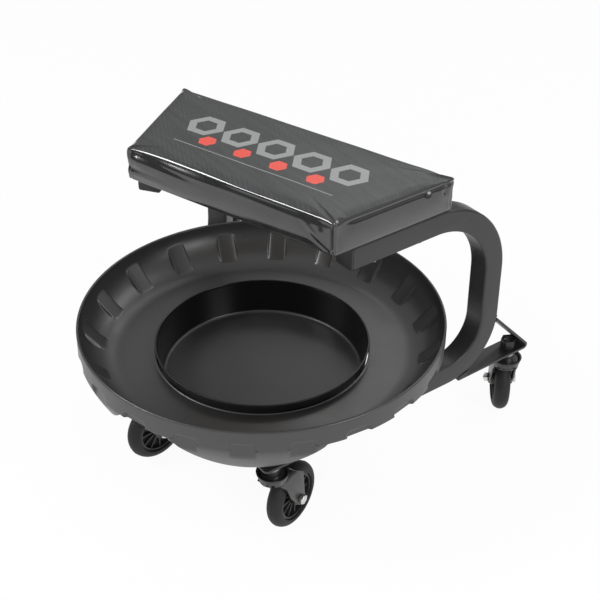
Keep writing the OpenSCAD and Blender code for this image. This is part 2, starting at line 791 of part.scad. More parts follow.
// Children drawn about a wheel's axle, their z along it
module on_axle(c) {
    at_caster(c) translate([0, trail, axle_z]) rotate([0, 90, 0]) children();
}

module axle_bolt(c) {
    half = fork_gap / 2 + fork_t;
    color(zinc)
    on_axle(c) {
        translate([0, 0, -half - axle_nut_h - axle_tip])
            cylinder(h = 2 * half + axle_nut_h + axle_tip, r = axle_r);
        translate([0, 0, half]) cylinder(h = axle_head_h, r = axle_head_r, $fn = 6);
    }
}

module axle_nut(c) {
    half = fork_gap / 2 + fork_t;
    color(zinc)
    on_axle(c) translate([0, 0, -half - axle_nut_h]) difference() {
        cylinder(h = axle_nut_h, r = axle_head_r, $fn = 6);
        translate([0, 0, -overrun]) cylinder(h = axle_nut_h + 2 * overrun, r = axle_r + run_clear);
    }
}

module axle_sleeve(c) {
    color(zinc)
    on_axle(c) translate([0, 0, -fork_gap / 2])
        washer(sleeve_r, axle_r + hole_clear / 2, fork_gap);
}

module wheel_hub(c) {
    seat = rim_r - tyre_gap;
    color(plastic)
    on_axle(c) difference() {
        union() {
            cylinder(h = barrel_l, r = barrel_r, center = true);
            cylinder(h = web_t, r = seat - hub_rim_t / 2, center = true);
            difference() {
                cylinder(h = hub_rim_w, r = seat, center = true);
                cylinder(h = hub_rim_w + overrun, r = seat - hub_rim_t, center = true);
            }
            for (k = [1 : spoke_count / 2]) rotate(360 * k / spoke_count)
                cube([2 * seat - hub_rim_t, spoke_t, spoke_w], center = true);
        }
        cylinder(h = barrel_l + overrun, r = sleeve_r + run_clear, center = true);
    }
}

module tyre(c) {
    middle = wheel_r - tread_round_r;
    color(rubber)
    on_axle(c) rotate_extrude() difference() {
        union() {
            translate([middle, 0]) circle(tread_round_r);
            translate([rim_r, -tread_round_r]) square([middle - rim_r, tyre_w]);
        }
        translate([0, -tyre_w]) square([rim_r, 2 * tyre_w]);
    }
}

seat_cushion();
seat_board();
seat_tee_nuts();
seat_bolts();
seat_bolt_washers();
frame_tube(1);  // right_frame_tube
frame_tube(-1);  // left_frame_tube
arm_end_caps();
leg_end_caps();
cross_strap(-strap_offset);  // front_cross_strap
cross_strap(strap_offset);  // rear_cross_strap
front_plate(1);  // right_front_plate
front_plate(-1);  // left_front_plate
rear_bracket(1);  // right_rear_bracket
rear_bracket(-1);  // left_rear_bracket
tray();
tray_screws();
tray_screw_washers();
parts_pan();
stem_nuts();
stem_lock_washers();
stem(front_right);  // front_right_stem
race(front_right);  // front_right_race
balls(front_right);  // front_right_balls
fork(front_right);  // front_right_fork
axle_bolt(front_right);  // front_right_axle_bolt
axle_nut(front_right);  // front_right_axle_nut
axle_sleeve(front_right);  // front_right_axle_sleeve
wheel_hub(front_right);  // front_right_wheel_hub
tyre(front_right);  // front_right_tyre
stem(front_left);  // front_left_stem
race(front_left);  // front_left_race
balls(front_left);  // front_left_balls
fork(front_left);  // front_left_fork
axle_bolt(front_left);  // front_left_axle_bolt
axle_nut(front_left);  // front_left_axle_nut
axle_sleeve(front_left);  // front_left_axle_sleeve
wheel_hub(front_left);  // front_left_wheel_hub
tyre(front_left);  // front_left_tyre
stem(rear_right);  // rear_right_stem
race(rear_right);  // rear_right_race
balls(rear_right);  // rear_right_balls
fork(rear_right);  // rear_right_fork
axle_bolt(rear_right);  // rear_right_axle_bolt
axle_nut(rear_right);  // rear_right_axle_nut
axle_sleeve(rear_right);  // rear_right_axle_sleeve
wheel_hub(rear_right);  // rear_right_wheel_hub
tyre(rear_right);  // rear_right_tyre
stem(rear_left);  // rear_left_stem
race(rear_left);  // rear_left_race
balls(rear_left);  // rear_left_balls
fork(rear_left);  // rear_left_fork
axle_bolt(rear_left);  // rear_left_axle_bolt
axle_nut(rear_left);  // rear_left_axle_nut
axle_sleeve(rear_left);  // rear_left_axle_sleeve
wheel_hub(rear_left);  // rear_left_wheel_hub
tyre(rear_left);  // rear_left_tyre
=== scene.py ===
import json
import math
from contextlib import contextmanager
from functools import cache, partialmethod

import bmesh
import bpy
import numpy as np
from bpy.props import FloatProperty, FloatVectorProperty, IntProperty, PointerProperty
from mathutils import Matrix, Vector

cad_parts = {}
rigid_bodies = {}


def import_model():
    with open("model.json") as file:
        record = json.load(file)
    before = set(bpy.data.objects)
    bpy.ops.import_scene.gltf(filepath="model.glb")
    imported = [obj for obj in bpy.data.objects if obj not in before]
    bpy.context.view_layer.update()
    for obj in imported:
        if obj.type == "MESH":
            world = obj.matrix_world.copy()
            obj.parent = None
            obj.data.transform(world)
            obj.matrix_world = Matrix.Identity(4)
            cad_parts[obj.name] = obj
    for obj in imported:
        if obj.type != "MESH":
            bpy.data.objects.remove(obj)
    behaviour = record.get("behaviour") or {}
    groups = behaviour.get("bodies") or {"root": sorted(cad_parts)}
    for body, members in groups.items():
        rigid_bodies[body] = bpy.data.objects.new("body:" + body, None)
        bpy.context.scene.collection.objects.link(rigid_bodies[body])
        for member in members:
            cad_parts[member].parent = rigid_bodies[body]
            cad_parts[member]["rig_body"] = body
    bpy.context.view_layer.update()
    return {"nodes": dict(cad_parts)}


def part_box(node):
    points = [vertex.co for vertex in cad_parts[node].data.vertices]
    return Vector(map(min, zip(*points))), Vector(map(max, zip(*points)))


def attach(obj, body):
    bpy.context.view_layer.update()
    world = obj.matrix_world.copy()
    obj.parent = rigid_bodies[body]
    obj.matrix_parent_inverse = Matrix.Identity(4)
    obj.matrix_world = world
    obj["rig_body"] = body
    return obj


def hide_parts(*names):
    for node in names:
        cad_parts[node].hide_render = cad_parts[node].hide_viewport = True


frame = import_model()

bl_info = {
    "name": "Rolling work seat",
    "version": (1, 0, 0),
    "blender": (4, 5, 0),
    "location": "View3D > Sidebar > Work seat",
    "description": "Dresses a low rolling seat with a round tool tray",
    "category": "Object",
}

MM = 0.001
CORNERS = ("front_right", "front_left", "rear_right", "rear_left")
SPLAY_DEGREES = 17.5           # turn of each C tube out of the fore-and-aft line
SPLAY = math.radians(SPLAY_DEGREES)
TUBE_DISTANCE = 130.0          # from the tray's middle to the line of a tube
MERGE = 1e-6                   # points nearer than this are one, in metres


# ---- measures read from the frame

def box_mm(node):
    """Lowest and highest corner of a CAD node, in millimetres."""
    low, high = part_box(node)
    return np.array(low) / MM, np.array(high) / MM


def middle_of(node):
    low, high = box_mm(node)
    return (low + high) / 2


TRAY_MID = middle_of("tray")
TRAY_RIM = float(box_mm("tray")[1][2])
SEAT_LOW = float(box_mm("seat_cushion")[0][2])


def on_tube(side, points):
    """Points given beside a tube (across, along, up), turned by the splay and moved out to it."""
    x, y = points[..., 0] + TUBE_DISTANCE, points[..., 1]
    return np.stack([side * (x * math.cos(SPLAY) + y * math.sin(SPLAY)),
                     TRAY_MID[1] - x * math.sin(SPLAY) + y * math.cos(SPLAY),
                     points[..., 2]], axis=-1)


# ---- meshes

def full_turn(count):
    """Even angles once round."""
    return np.linspace(0, 2 * np.pi, count, endpoint=False)


def unit(vectors):
    return vectors / np.linalg.norm(vectors, axis=-1, keepdims=True)


def grid_quads(rows, cols, wrap_rows=False):
    """Quads of rows of points that wrap round: (r, c), (r, c+1), (r+1, c+1), (r+1, c)."""
    r, c = np.meshgrid(np.arange(rows if wrap_rows else rows - 1), np.arange(cols), indexing="ij")
    r2, c2 = (r + 1) % rows, (c + 1) % cols
    quads = [r * cols + c, r * cols + c2, r2 * cols + c2, r2 * cols + c]
    return np.stack(quads, axis=-1).reshape(-1, 4)


@contextmanager
def editing(mesh):
    """A mesh as a bmesh for the length of a block, written back at its end."""
    work = bmesh.new()
    work.from_mesh(mesh)
    yield work
    work.to_mesh(mesh)
    work.free()
    mesh.update()


def merge_points(obj):
    """Joins the points that lie on each other, such as the rings of radius nought at a pole."""
    with editing(obj.data) as work:
        bmesh.ops.remove_doubles(work, verts=work.verts, dist=MERGE)


def turn_faces_out(obj):
    with editing(obj.data) as work:
        bmesh.ops.recalc_face_normals(work, faces=work.faces)


def shade(mesh, sharp=None):
    """Smooth shading, but for edges over an angle in degrees."""
    mesh.polygons.foreach_set("use_smooth", np.ones(len(mesh.polygons), bool))
    if sharp:
        mesh.set_sharp_from_angle(angle=math.radians(sharp))
    mesh.update()


def linked(name, data):
    """A new object in the scene."""
    obj = bpy.data.objects.new(name, data)
    bpy.context.scene.collection.objects.link(obj)
    return obj


def new_object(name, points, faces, sharp=None):
    """An object from points in millimetres and a list of faces."""
    mesh = bpy.data.meshes.new(name)
    mesh.from_pydata((np.asarray(points, float).reshape(-1, 3) * MM).tolist(), [], faces)
    shade(mesh, sharp)
    return linked(name, mesh)


def work_in(obj):
    """Replaces an object's mesh by what its modifiers make of it, and clears them."""
    bpy.context.view_layer.update()
    graph = bpy.context.evaluated_depsgraph_get()
    made = bpy.data.meshes.new_from_object(obj.evaluated_get(graph), depsgraph=graph)
    obj.modifiers.clear()
    old, obj.data = obj.data, made
    name = old.name
    bpy.data.meshes.remove(old)
    made.name = name


def positions(mesh):
    """A mesh's points in millimetres."""
    flat = np.empty(len(mesh.vertices) * 3, np.float32)
    mesh.vertices.foreach_get("co", flat)
    return flat.reshape(-1, 3).astype(float) / MM


def set_positions(mesh, points):
    mesh.vertices.foreach_set("co", (points * MM).astype(np.float32).ravel())
    mesh.update()


def settle(obj, body, material, nodes=()):
    """Gives a piece its finish, its body and the CAD nodes that it stands for."""
    if material and not obj.data.materials:
        obj.data.materials.append(material)
    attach(obj, body)
    if nodes:
        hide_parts(*nodes)


CREASE = 32.0                  # edges sharper than this are rounded and shaded sharp, in degrees
FLAT = 0.4                     # faces that turn by less than this are joined, in degrees


def dressed_copy(node, slot, material, edge=0.0, segments=2, flat=FLAT):
    """A merged copy of a CAD node with its flat faces joined and its edges rounded by edge mm."""
    mesh = frame["nodes"][node].data.copy()
    with editing(mesh) as work:
        bmesh.ops.remove_doubles(work, verts=work.verts, dist=2 * MERGE)
        bmesh.ops.dissolve_degenerate(work, edges=work.edges, dist=MERGE)
        bmesh.ops.dissolve_limit(work, angle_limit=math.radians(flat), verts=work.verts,
                                 edges=work.edges)
    mesh.materials.clear()
    obj = linked(node + "_piece", mesh)
    if edge:
        rounded = obj.modifiers.new("Edges", "BEVEL")
        rounded.width, rounded.segments = edge * MM, segments
        rounded.limit_method, rounded.angle_limit = "ANGLE", math.radians(CREASE)
        rounded.use_clamp_overlap = False
        work_in(obj)
    shade(obj.data, CREASE)
    settle(obj, frame["nodes"][node]["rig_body"], surface(material), [node])


def dress(rows, start=""):
    """Dresses the nodes of a table: end of the name, slot, material, rounding, its segments."""
    for end, *finish_and_edge in rows:
        dressed_copy(start + end, *finish_and_edge)


def turned(profile, centre, around):
    """Points of a profile turned about the upright axis: (r cos a, r sin a, z)."""
    angle = full_turn(around)
    r, z = profile[:, :1], profile[:, 1:]
    return np.stack([centre[0] + r * np.cos(angle), centre[1] + r * np.sin(angle),
                     np.broadcast_to(z, (len(profile), around))], axis=-1)


BEAD_STEP, BEAD_PITCH, BEAD_SIDES, BEAD_KNOTS = 0.55, 2.6, 10, 9


def bead_points(path, radius, seed):
    """A weld bead: circles of radius r (1 + ripple along the path), drawn in at both its ends."""
    path = np.asarray(path, float)
    run = np.concatenate([[0], np.cumsum(np.linalg.norm(np.diff(path, axis=0), axis=1))])
    s = np.linspace(0, run[-1], max(int(run[-1] / BEAD_STEP), 8))
    line = np.stack([np.interp(s, run, path[:, k]) for k in range(3)], axis=-1)
    tangent = unit(np.gradient(line, axis=0))
    steep = np.abs(tangent[:, 2:3]) > 0.8
    side = unit(np.cross(tangent, np.where(steep, [[1.0, 0, 0]], [[0, 0, 1.0]])))
    up = np.cross(side, tangent)
    uneven = np.random.default_rng(seed).normal(0, 0.07, BEAD_KNOTS)
    wobble = np.interp(s, np.linspace(0, run[-1], BEAD_KNOTS), uneven)
    ripple = 1 + 0.09 * np.cos(2 * np.pi * s / BEAD_PITCH) + wobble
    taper = np.sqrt(np.clip(np.minimum(s, run[-1] - s) / (1.1 * radius) + 0.02, 0, 1))
    r = (radius * ripple * taper)[:, None, None]
    a = full_turn(BEAD_SIDES)[None, :, None]
    return line[:, None] + r * (np.cos(a) * side[:, None] + np.sin(a) * up[:, None])


def joined_grids(name, grids):
    """One object of several open grids that wrap round, each closed by a face at both ends."""
    points, faces, base = [], [], 0
    for grid in grids:
        rows, cols = grid.shape[:2]
        points.append(grid.reshape(-1, 3))
        faces += (grid_quads(rows, cols) + base).tolist()
        faces.append((base + np.arange(cols)[::-1]).tolist())
        faces.append((base + (rows - 1) * cols + np.arange(cols)).tolist())
        base += rows * cols
    obj = new_object(name, np.concatenate(points), faces)
    turn_faces_out(obj)
    return obj


# ---- shader nodes

class Flow:
    """A value in a node tree; arithmetic on it adds math nodes."""

    def __init__(self, tree, socket):
        self.tree, self.socket = tree, socket

    def math(self, operation, *others):
        inputs = dict(enumerate((self, *others)))
        return flow(self.tree, "ShaderNodeMath", inputs, operation=operation)

    __add__ = partialmethod(math, "ADD")
    __sub__ = partialmethod(math, "SUBTRACT")
    __mul__ = partialmethod(math, "MULTIPLY")
    __truediv__ = partialmethod(math, "DIVIDE")
    __lt__ = partialmethod(math, "LESS_THAN")
    __abs__ = partialmethod(math, "ABSOLUTE")

    def __rsub__(self, other):
        return self * -1.0 + other


def feed(node, inputs):
    """Gives sockets of a node a value, or the flow that feeds them."""
    for key, value in inputs.items():
        if isinstance(value, Flow):
            value.tree.links.new(value.socket, node.inputs[key])
        else:
            node.inputs[key].default_value = value


def add(tree, kind, inputs=None, **settings):
    node = tree.nodes.new(kind)
    for key, value in settings.items():
        setattr(node, key, value)
    feed(node, inputs or {})
    return node


def flow(tree, kind, inputs=None, output=0, **settings):
    """What leaves a new node at one of its outputs."""
    return Flow(tree, add(tree, kind, inputs, **settings).outputs[output])


def split(place):
    """The x, y and z of a vector."""
    outputs = add(place.tree, "ShaderNodeSeparateXYZ", {"Vector": place}).outputs
    return [Flow(place.tree, socket) for socket in outputs]


def ramp(value, low, high, to_low=0.0, to_high=1.0):
    """Maps a value smoothly from one range onto another."""
    inputs = {"Value": value, "From Min": low, "From Max": high, "To Min": to_low,
              "To Max": to_high}
    return flow(value.tree, "ShaderNodeMapRange", inputs, interpolation_type="SMOOTHSTEP")


def noise(place, scale, detail, rough):
    inputs = {"Vector": place, "Scale": scale, "Detail": detail, "Roughness": rough}
    return flow(place.tree, "ShaderNodeTexNoise", inputs)


def varied(value, spread, middle):
    """A middle value that a noise moves by up to half the spread either way."""
    return (value - 0.5) * spread + middle


def blend(factor, *colours):
    """Mixes two colours, each three numbers or a flow."""
    first, second = (c if isinstance(c, Flow) else (*c[:3], 1.0) for c in colours)
    return flow(factor.tree, "ShaderNodeMix", {0: factor, 6: first, 7: second}, 2,
                data_type="RGBA")


def mottled(clouds, low, high, colour, darkest, lightest):
    """A colour that clouds vary between a darker and a lighter tone of it."""
    dark, light = [[c * k for c in colour[:3]] for k in (darkest, lightest)]
    return blend(ramp(clouds, low, high), dark, light)


def bump(height, strength, distance):
    return flow(height.tree, "ShaderNodeBump",
                {"Height": height, "Strength": strength, "Distance": distance})


def empty_tree(holder):
    """The node tree of a material or of the world, cleared."""
    holder.use_nodes = True
    holder.node_tree.nodes.clear()
    return holder.node_tree


# ---- materials
# Each maker takes the object's own coordinates and returns what feeds the shader.

# Colour or its setting, roughness, variation of tone, scale and depth of the grain, spread of the
# roughness, share of metal, scale of the clouds
FINISHES = {
    "Powder coat": ("coat", 0.40, 0.12, 700, 0.00005, 0.07, 0.0, 9),
    "Caster paint": ("caster", 0.34, 0.15, 500, 0.00003, 0.08, 0.0, 30),
    "Painted weld": ("coat", 0.42, 0.2, 1400, 0.0001, 0.1, 0.0, 60),
    "Cap plastic": ("cap", 0.5, 0.12, 1500, 0.00004, 0.06, 0.0, 40),
    "Hub plastic": ("hub", 0.42, 0.15, 900, 0.00003, 0.08, 0.0, 40),
    "Zinc plate": ((0.62, 0.62, 0.6), 0.3, 0.12, 1200, 0.00002, 0.12, 1.0, 90),
    "Black oxide": ((0.035, 0.035, 0.037), 0.36, 0.2, 900, 0.00003, 0.1, 0.6, 60),
    "Bright steel": ((0.7, 0.7, 0.71), 0.16, 0.05, 900, 0.00001, 0.05, 1.0, 60),
}


def looks():
    return bpy.context.scene.seat_looks


def finish(place, colour, rough, vary, grain, depth, spread, metal, cloud):
    """A painted, moulded or plated surface: clouds of tone and roughness, and a fine grain."""
    colour = getattr(looks(), colour) if isinstance(colour, str) else colour
    clouds, fine = noise(place, cloud, 4.0, 0.6), noise(place, grain, 2.0, 0.5)
    return {"Base Color": mottled(clouds, 0.3, 0.7, colour, 1 - vary, 1 + vary),
            "Roughness": varied(clouds, 2 * spread, varied(fine, spread, rough)),
            "Metallic": metal, "Normal": bump(fine, 0.6, depth)}


def tyre_rubber(place):
    """Tyre rubber: dull dark grey with a little dust on the tread."""
    clouds, fine = noise(place, 55, 5.0, 0.65), noise(place, 1400, 2.0, 0.5)
    return {"Base Color": mottled(clouds, 0.35, 0.75, looks().tyre, 0.8, 1.35),
            "Roughness": clouds * 0.16 + 0.52, "Specular IOR Level": 0.32,
            "Normal": bump(fine, 0.5, 0.00005)}


PLY = 0.0018                   # thickness of a ply, in metres


def plywood(place):
    """Plywood: pale face veneer with long grain, and its plies as bands on the edge."""
    stretched = flow(place.tree, "ShaderNodeMapping",
                     {"Vector": place, "Scale": (3.0, 46.0, 46.0)})
    grain = noise(stretched, 4.0, 6.0, 0.62)
    plies = (split(place)[2] / PLY).math("PINGPONG", 1.0)
    face = blend(ramp(grain, 0.3, 0.7), (0.36, 0.22, 0.11), (0.58, 0.4, 0.23))
    banded = blend(ramp(plies, 0.35, 0.65) * 0.45, face, (0.2, 0.11, 0.055))
    return {"Base Color": banded, "Roughness": 0.62, "Normal": bump(grain, 0.4, 0.0002)}


def tray_plastic(place):
    """Moulded dark plastic: a fine even texture, faint rubbed patches and flow marks."""
    clouds, patches = noise(place, 7.0, 5.0, 0.62), noise(place, 26.0, 4.0, 0.6)
    fine = noise(place, 1500, 2.0, 0.5)
    return {"Base Color": mottled(clouds, 0.3, 0.72, looks().tray, 0.88, 1.14),
            "Roughness": varied(fine, 0.1, varied(patches, 0.16, 0.36)),
            "Specular IOR Level": 0.88, "Normal": bump(patches * 2.0 + fine, 0.5, 0.00006)}


def pan_plastic(place):
    """The pan's plastic: a dull floor, and above its rounded foot a wall that is glossy only
    inside, whose near-black colour is painted shade on the same plastic as the floor."""
    clouds, fine = noise(place, 16.0, 4.0, 0.6), noise(place, 1500, 2.0, 0.5)
    x, y, height = split(place)
    t = bpy.context.scene.tray_sizes
    low, high = box_mm("parts_pan")
    floor, rim = float(low[2] + t.pan_wall) * MM, float(high[2]) * MM
    across, along = x - float(TRAY_MID[0]) * MM, y - float(TRAY_MID[1]) * MM
    radius = (across * across + along * along).math("SQRT")
    lean = (t.pan_mouth - t.pan_floor) * MM / (rim - floor)
    inner = (height - floor) * lean + t.pan_floor * MM
    at_rim = ramp(height, rim - 0.0035, rim - 0.002) * 0.1
    outside = ramp(radius - inner, 0.0007, 0.0013).math("MAXIMUM", at_rim)
    # Above the foot the colour goes from the floor's grey to near black: painted shade on the wall
    wall = ramp(height, floor + 0.001, floor + 0.0035)
    cloudy = mottled(clouds, 0.3, 0.7, looks().pan, 0.85, 1.2)
    sheen = wall * -0.2 + varied(clouds, 0.12, 0.4)
    return {"Base Color": blend(wall, cloudy, looks().pan_wall),
            "Roughness": outside * 0.35 + sheen, "Normal": bump(fine, 0.4, 0.00004)}


def vinyl_sides(place):
    """Glossy black vinyl with a fine pressed grain."""
    cells = flow(place.tree, "ShaderNodeTexVoronoi", {"Vector": place, "Scale": 1500.0},
                 feature="SMOOTH_F1")
    soft = noise(place, 38, 4.0, 0.6)
    tone = blend(ramp(soft, 0.3, 0.7), (0.0095, 0.0097, 0.0103), (0.014, 0.0143, 0.015))
    return {"Base Color": tone, "Roughness": soft * 0.1 + 0.13,
            "Specular IOR Level": 0.7, "Coat Weight": 0.5, "Coat Roughness": 0.08,
            "Normal": bump(soft * 3.0 + cells, 0.3, 0.00003)}


def hexagon(x, y):
    """Distance measure of a hexagon with flat top: max(|x| cos 30 + |y| / 2, |y|)."""
    y = abs(y)
    return (abs(x) * math.cos(math.radians(30)) + y * 0.5).math("MAXIMUM", y)


# The print on the seat, in metres: pitch of the hexagons, how far its row stands behind the tray's
# middle, the rings' outer and inner edges, the small hexagons' edge and drop below the row, and
# the thin line's drop and half width. An edge is soft between its two numbers.
PITCH, ROW = 0.046, 0.028
RING_EDGE, RING_HOLE = (0.0196, 0.0190), (0.0112, 0.0106)
SMALL_EDGE, SMALL_DROP = (0.0092, 0.0086), 0.027
LINE_DROP, LINE_HALF = 0.0435, 0.0007
STREAK_LEAN = math.radians(20)
STREAKS_ACROSS, STREAKS_ALONG = 170, 9       # their noise's scale, per metre


def vinyl_top(place):
    """Woven-look vinyl: a twill whose warp and weft catch the light differently, with slanting
    streaks, under a print of hexagon rings, small solid hexagons and a thin line."""
    p = looks()
    x, y, _ = split(place)
    u, v = x / p.weave, y / p.weave
    steps = u.math("FLOOR") + v.math("FLOOR")
    warp = (steps * 0.25).math("WRAP", 1.0, 0.0) < 0.45
    across, along = u.math("PINGPONG", 0.5), v.math("PINGPONG", 0.5)
    thread = warp * across + (1.0 - warp) * along
    soft, fine = noise(place, 20, 4.0, 0.6), noise(place, 1800, 2.0, 0.5)
    weave = blend(warp, p.top_dark, p.top_light)
    weave = blend(ramp(soft, 0.3, 0.7) * 0.25, weave, (0.05, 0.052, 0.056))
    # Long streaks a few millimetres apart run slantwise through the cloth
    sine, cosine = math.sin(STREAK_LEAN), math.cos(STREAK_LEAN)
    streak_at = flow(place.tree, "ShaderNodeCombineXYZ",
                     {"X": x * (sine * STREAKS_ACROSS) + y * (cosine * STREAKS_ACROSS),
                      "Y": x * (cosine * STREAKS_ALONG) + y * (-sine * STREAKS_ALONG)})
    streaks = ramp(noise(streak_at, 1.0, 2.0, 0.5), 0.35, 0.7) * 0.6
    weave = blend(streaks, weave, (0.019, 0.0196, 0.0204))
    # The print
    up = y - (float(TRAY_MID[1]) * MM + ROW)
    ring = hexagon(x.math("WRAP", PITCH / 2, -PITCH / 2), up)
    rings = (ramp(ring, *RING_EDGE) - ramp(ring, *RING_HOLE)) * (abs(x) < 2.5 * PITCH)
    between = (x + PITCH / 2).math("WRAP", PITCH / 2, -PITCH / 2)
    small = ramp(hexagon(between, up + SMALL_DROP), *SMALL_EDGE) * (abs(x) < 2.0 * PITCH)
    line = (abs(up + LINE_DROP) < LINE_HALF) * (abs(x) < 2.2 * PITCH)
    worn = ramp(fine, 0.2, 0.5, 0.82, 1.0)
    colour = blend(rings * worn, weave, p.print_light)
    colour = blend(small * worn, colour, p.print_red)
    colour = blend(line * 0.8, colour, p.print_light)
    return {"Base Color": colour, "Roughness": soft * 0.1 + (warp * 0.1 + 0.34),
            "Coat Weight": 0.15, "Coat Roughness": 0.25,
            "Normal": bump(fine * 0.2 + thread, 0.35, 0.0002)}


MAKERS = {"Tyre rubber": tyre_rubber, "Plywood": plywood, "Tray plastic": tray_plastic,
          "Pan plastic": pan_plastic, "Seat vinyl": vinyl_sides, "Seat top vinyl": vinyl_top}


@cache
def surface(name):
    """The material of that name, made at its first use."""
    material = bpy.data.materials.new(name)
    tree = empty_tree(material)
    shader = add(tree, "ShaderNodeBsdfPrincipled")
    add(tree, "ShaderNodeOutputMaterial", {"Surface": Flow(tree, shader.outputs[0])})
    place = flow(tree, "ShaderNodeTexCoord", output="Object")
    feed(shader, MAKERS[name](place) if name in MAKERS else finish(place, *FINISHES[name]))
    return material


# ---- shaping

def gauss(value, middle, width):
    return np.exp(-((value - middle) / width) ** 2)


def fade(distance, reach):
    """One at no distance, falling straight to nought at the reach."""
    return np.clip(1 - distance / reach, 0, 1)


def smooth_step(value, low, high):
    t = np.clip((value - low) / (high - low), 0, 1)
    return t * t * (3 - 2 * t)


def soft_min(a, b, k):
    """The smaller of two values, with the corner between them rounded over about k."""
    return 0.5 * (a + b - np.sqrt((a - b) ** 2 + k * k))


def soft_up(value, k):
    """max(value, 0) with its corner rounded over about k."""
    return 0.5 * (value + np.sqrt(value * value + k * k))


# ---- seat

SEAT_FRONT_HALF, SEAT_DEPTH, SEAT_SET_BACK = 132.0, 147.0, 18.0
SEAT_MIDDLE = [0, SEAT_SET_BACK]
SEAT_FRONT, SEAT_BACK = SEAT_SET_BACK - SEAT_DEPTH / 2, SEAT_SET_BACK + SEAT_DEPTH / 2
SLOPE = math.tan(SPLAY)
POCKET_TOP, POCKET_INSET, POCKET_CORNER = 11.0, 4.2, 7.0
ARC_STEPS, SIDE_STEPS, END_STEPS = 5, 44, 24      # of a corner, the front and a slanted side
CROWDING = 0.11                # how much closer together the columns stand near the corners
HEM_RINGS = 12                 # rings held fast while the cloth is blown up


def compass(degrees):
    a = np.radians(degrees)
    return np.stack([np.cos(a), np.sin(a)], axis=-1)


def seat_outline(radius, inset, swell):
    """The seat's outline: four arcs of a corner radius less the inset, and straight sides that
    are swelled by a half sine."""
    lean = SPLAY_DEGREES
    corners = [(1, -1, -90, -lean), (1, 1, -lean, 90), (-1, 1, 90, 180 + lean),
               (-1, -1, 180 + lean, 270)]
    rim = radius - inset

    def mid(i, j):
        y = SEAT_BACK - radius if j > 0 else SEAT_FRONT + radius
        half = SEAT_FRONT_HALF + (y - SEAT_FRONT) * SLOPE
        return np.array([i * (half - radius / math.cos(SPLAY)), y])

    pieces = []
    for n, (i, j, start, end) in enumerate(corners):
        pieces.append(mid(i, j) + rim * compass(np.linspace(start, end, ARC_STEPS + 1)))
        i2, j2, start2, _ = corners[(n + 1) % 4]
        p, q = pieces[-1][-1], mid(i2, j2) + rim * compass(start2)
        t = np.linspace(0, 1, (END_STEPS if n % 2 == 0 else SIDE_STEPS) + 1)[1:-1, None]
        t = t - CROWDING * np.sin(2 * np.pi * t)
        pieces.append(p + (q - p) * t + compass(end) * swell * np.sin(np.pi * t))
    return np.concatenate(pieces)


def seat_surface(size):
    """Rings of the cushion from the pocket's ceiling over the hem, up the sides, round the edge
    and to the crown."""
    height, edge = size.height, size.edge
    rings = []

    def ring(inset, swell, z, share=1.0, corner=size.corner):
        flat = SEAT_MIDDLE + (seat_outline(corner, inset, swell) - SEAT_MIDDLE) * share
        rings.append(np.column_stack([flat, np.full(len(flat), z)]))

    for share in (0.3, 0.65, 0.93):
        ring(POCKET_INSET, 0, POCKET_TOP, share, POCKET_CORNER)
    for z in (POCKET_TOP, POCKET_TOP - 1.5, POCKET_TOP / 2, 1.2, 0.0):
        ring(POCKET_INSET, 0, z, 1.0, POCKET_CORNER)
    for inset, z in ((2.6, 0.0), (1.2, 0.0), (0.35, 0.45), (0.0, 1.5)):
        ring(inset, 0, z)
    for z in np.linspace(0, height - edge, 7)[1:]:
        ring(0, 0.5, z if z > 2 else 2)
    for a in np.radians([22.5, 45, 67.5, 90]):
        ring(edge * (1 - np.cos(a)), 0.4, height - edge + edge * np.sin(a))
    for share in (0.985, 0.95, 0.89, 0.8, 0.7, 0.58, 0.45, 0.3, 0.15):
        ring(edge, 0.4, height + size.crown * (1 - share ** 4), share)
    return np.stack(rings)


CLOTH = {"quality": 6, "mass": 0.4, "tension_stiffness": 40, "compression_stiffness": 40,
         "shear_stiffness": 20, "bending_stiffness": 6, "vertex_group_mass": "Hem",
         "use_pressure": True}
CLOTH_FRAMES = 20


def pillow(obj, pinned, pressure, cap):
    """Blows the cushion up a little as cloth with its hem pinned, moving no point by more than
    cap mm."""
    start = positions(obj.data)
    group = obj.vertex_groups.new(name="Hem")
    group.add(np.flatnonzero(pinned).tolist(), 1.0, "REPLACE")
    cloth = obj.modifiers.new("Cloth", "CLOTH")
    for key, value in CLOTH.items():
        setattr(cloth.settings, key, value)
    cloth.settings.uniform_pressure_force = pressure
    cloth.settings.effector_weights.gravity = 0
    cloth.collision_settings.use_collision = False
    cloth.point_cache.frame_start, cloth.point_cache.frame_end = 1, CLOTH_FRAMES
    scene = bpy.context.scene
    for number in range(1, CLOTH_FRAMES + 1):
        scene.frame_set(number)
    work_in(obj)
    scene.frame_set(1)
    obj.vertex_groups.clear()
    move = positions(obj.data) - start
    size = np.linalg.norm(move, axis=1)[:, None]
    set_positions(obj.data, start + move * np.minimum(1, cap / np.maximum(size, 1e-9)))


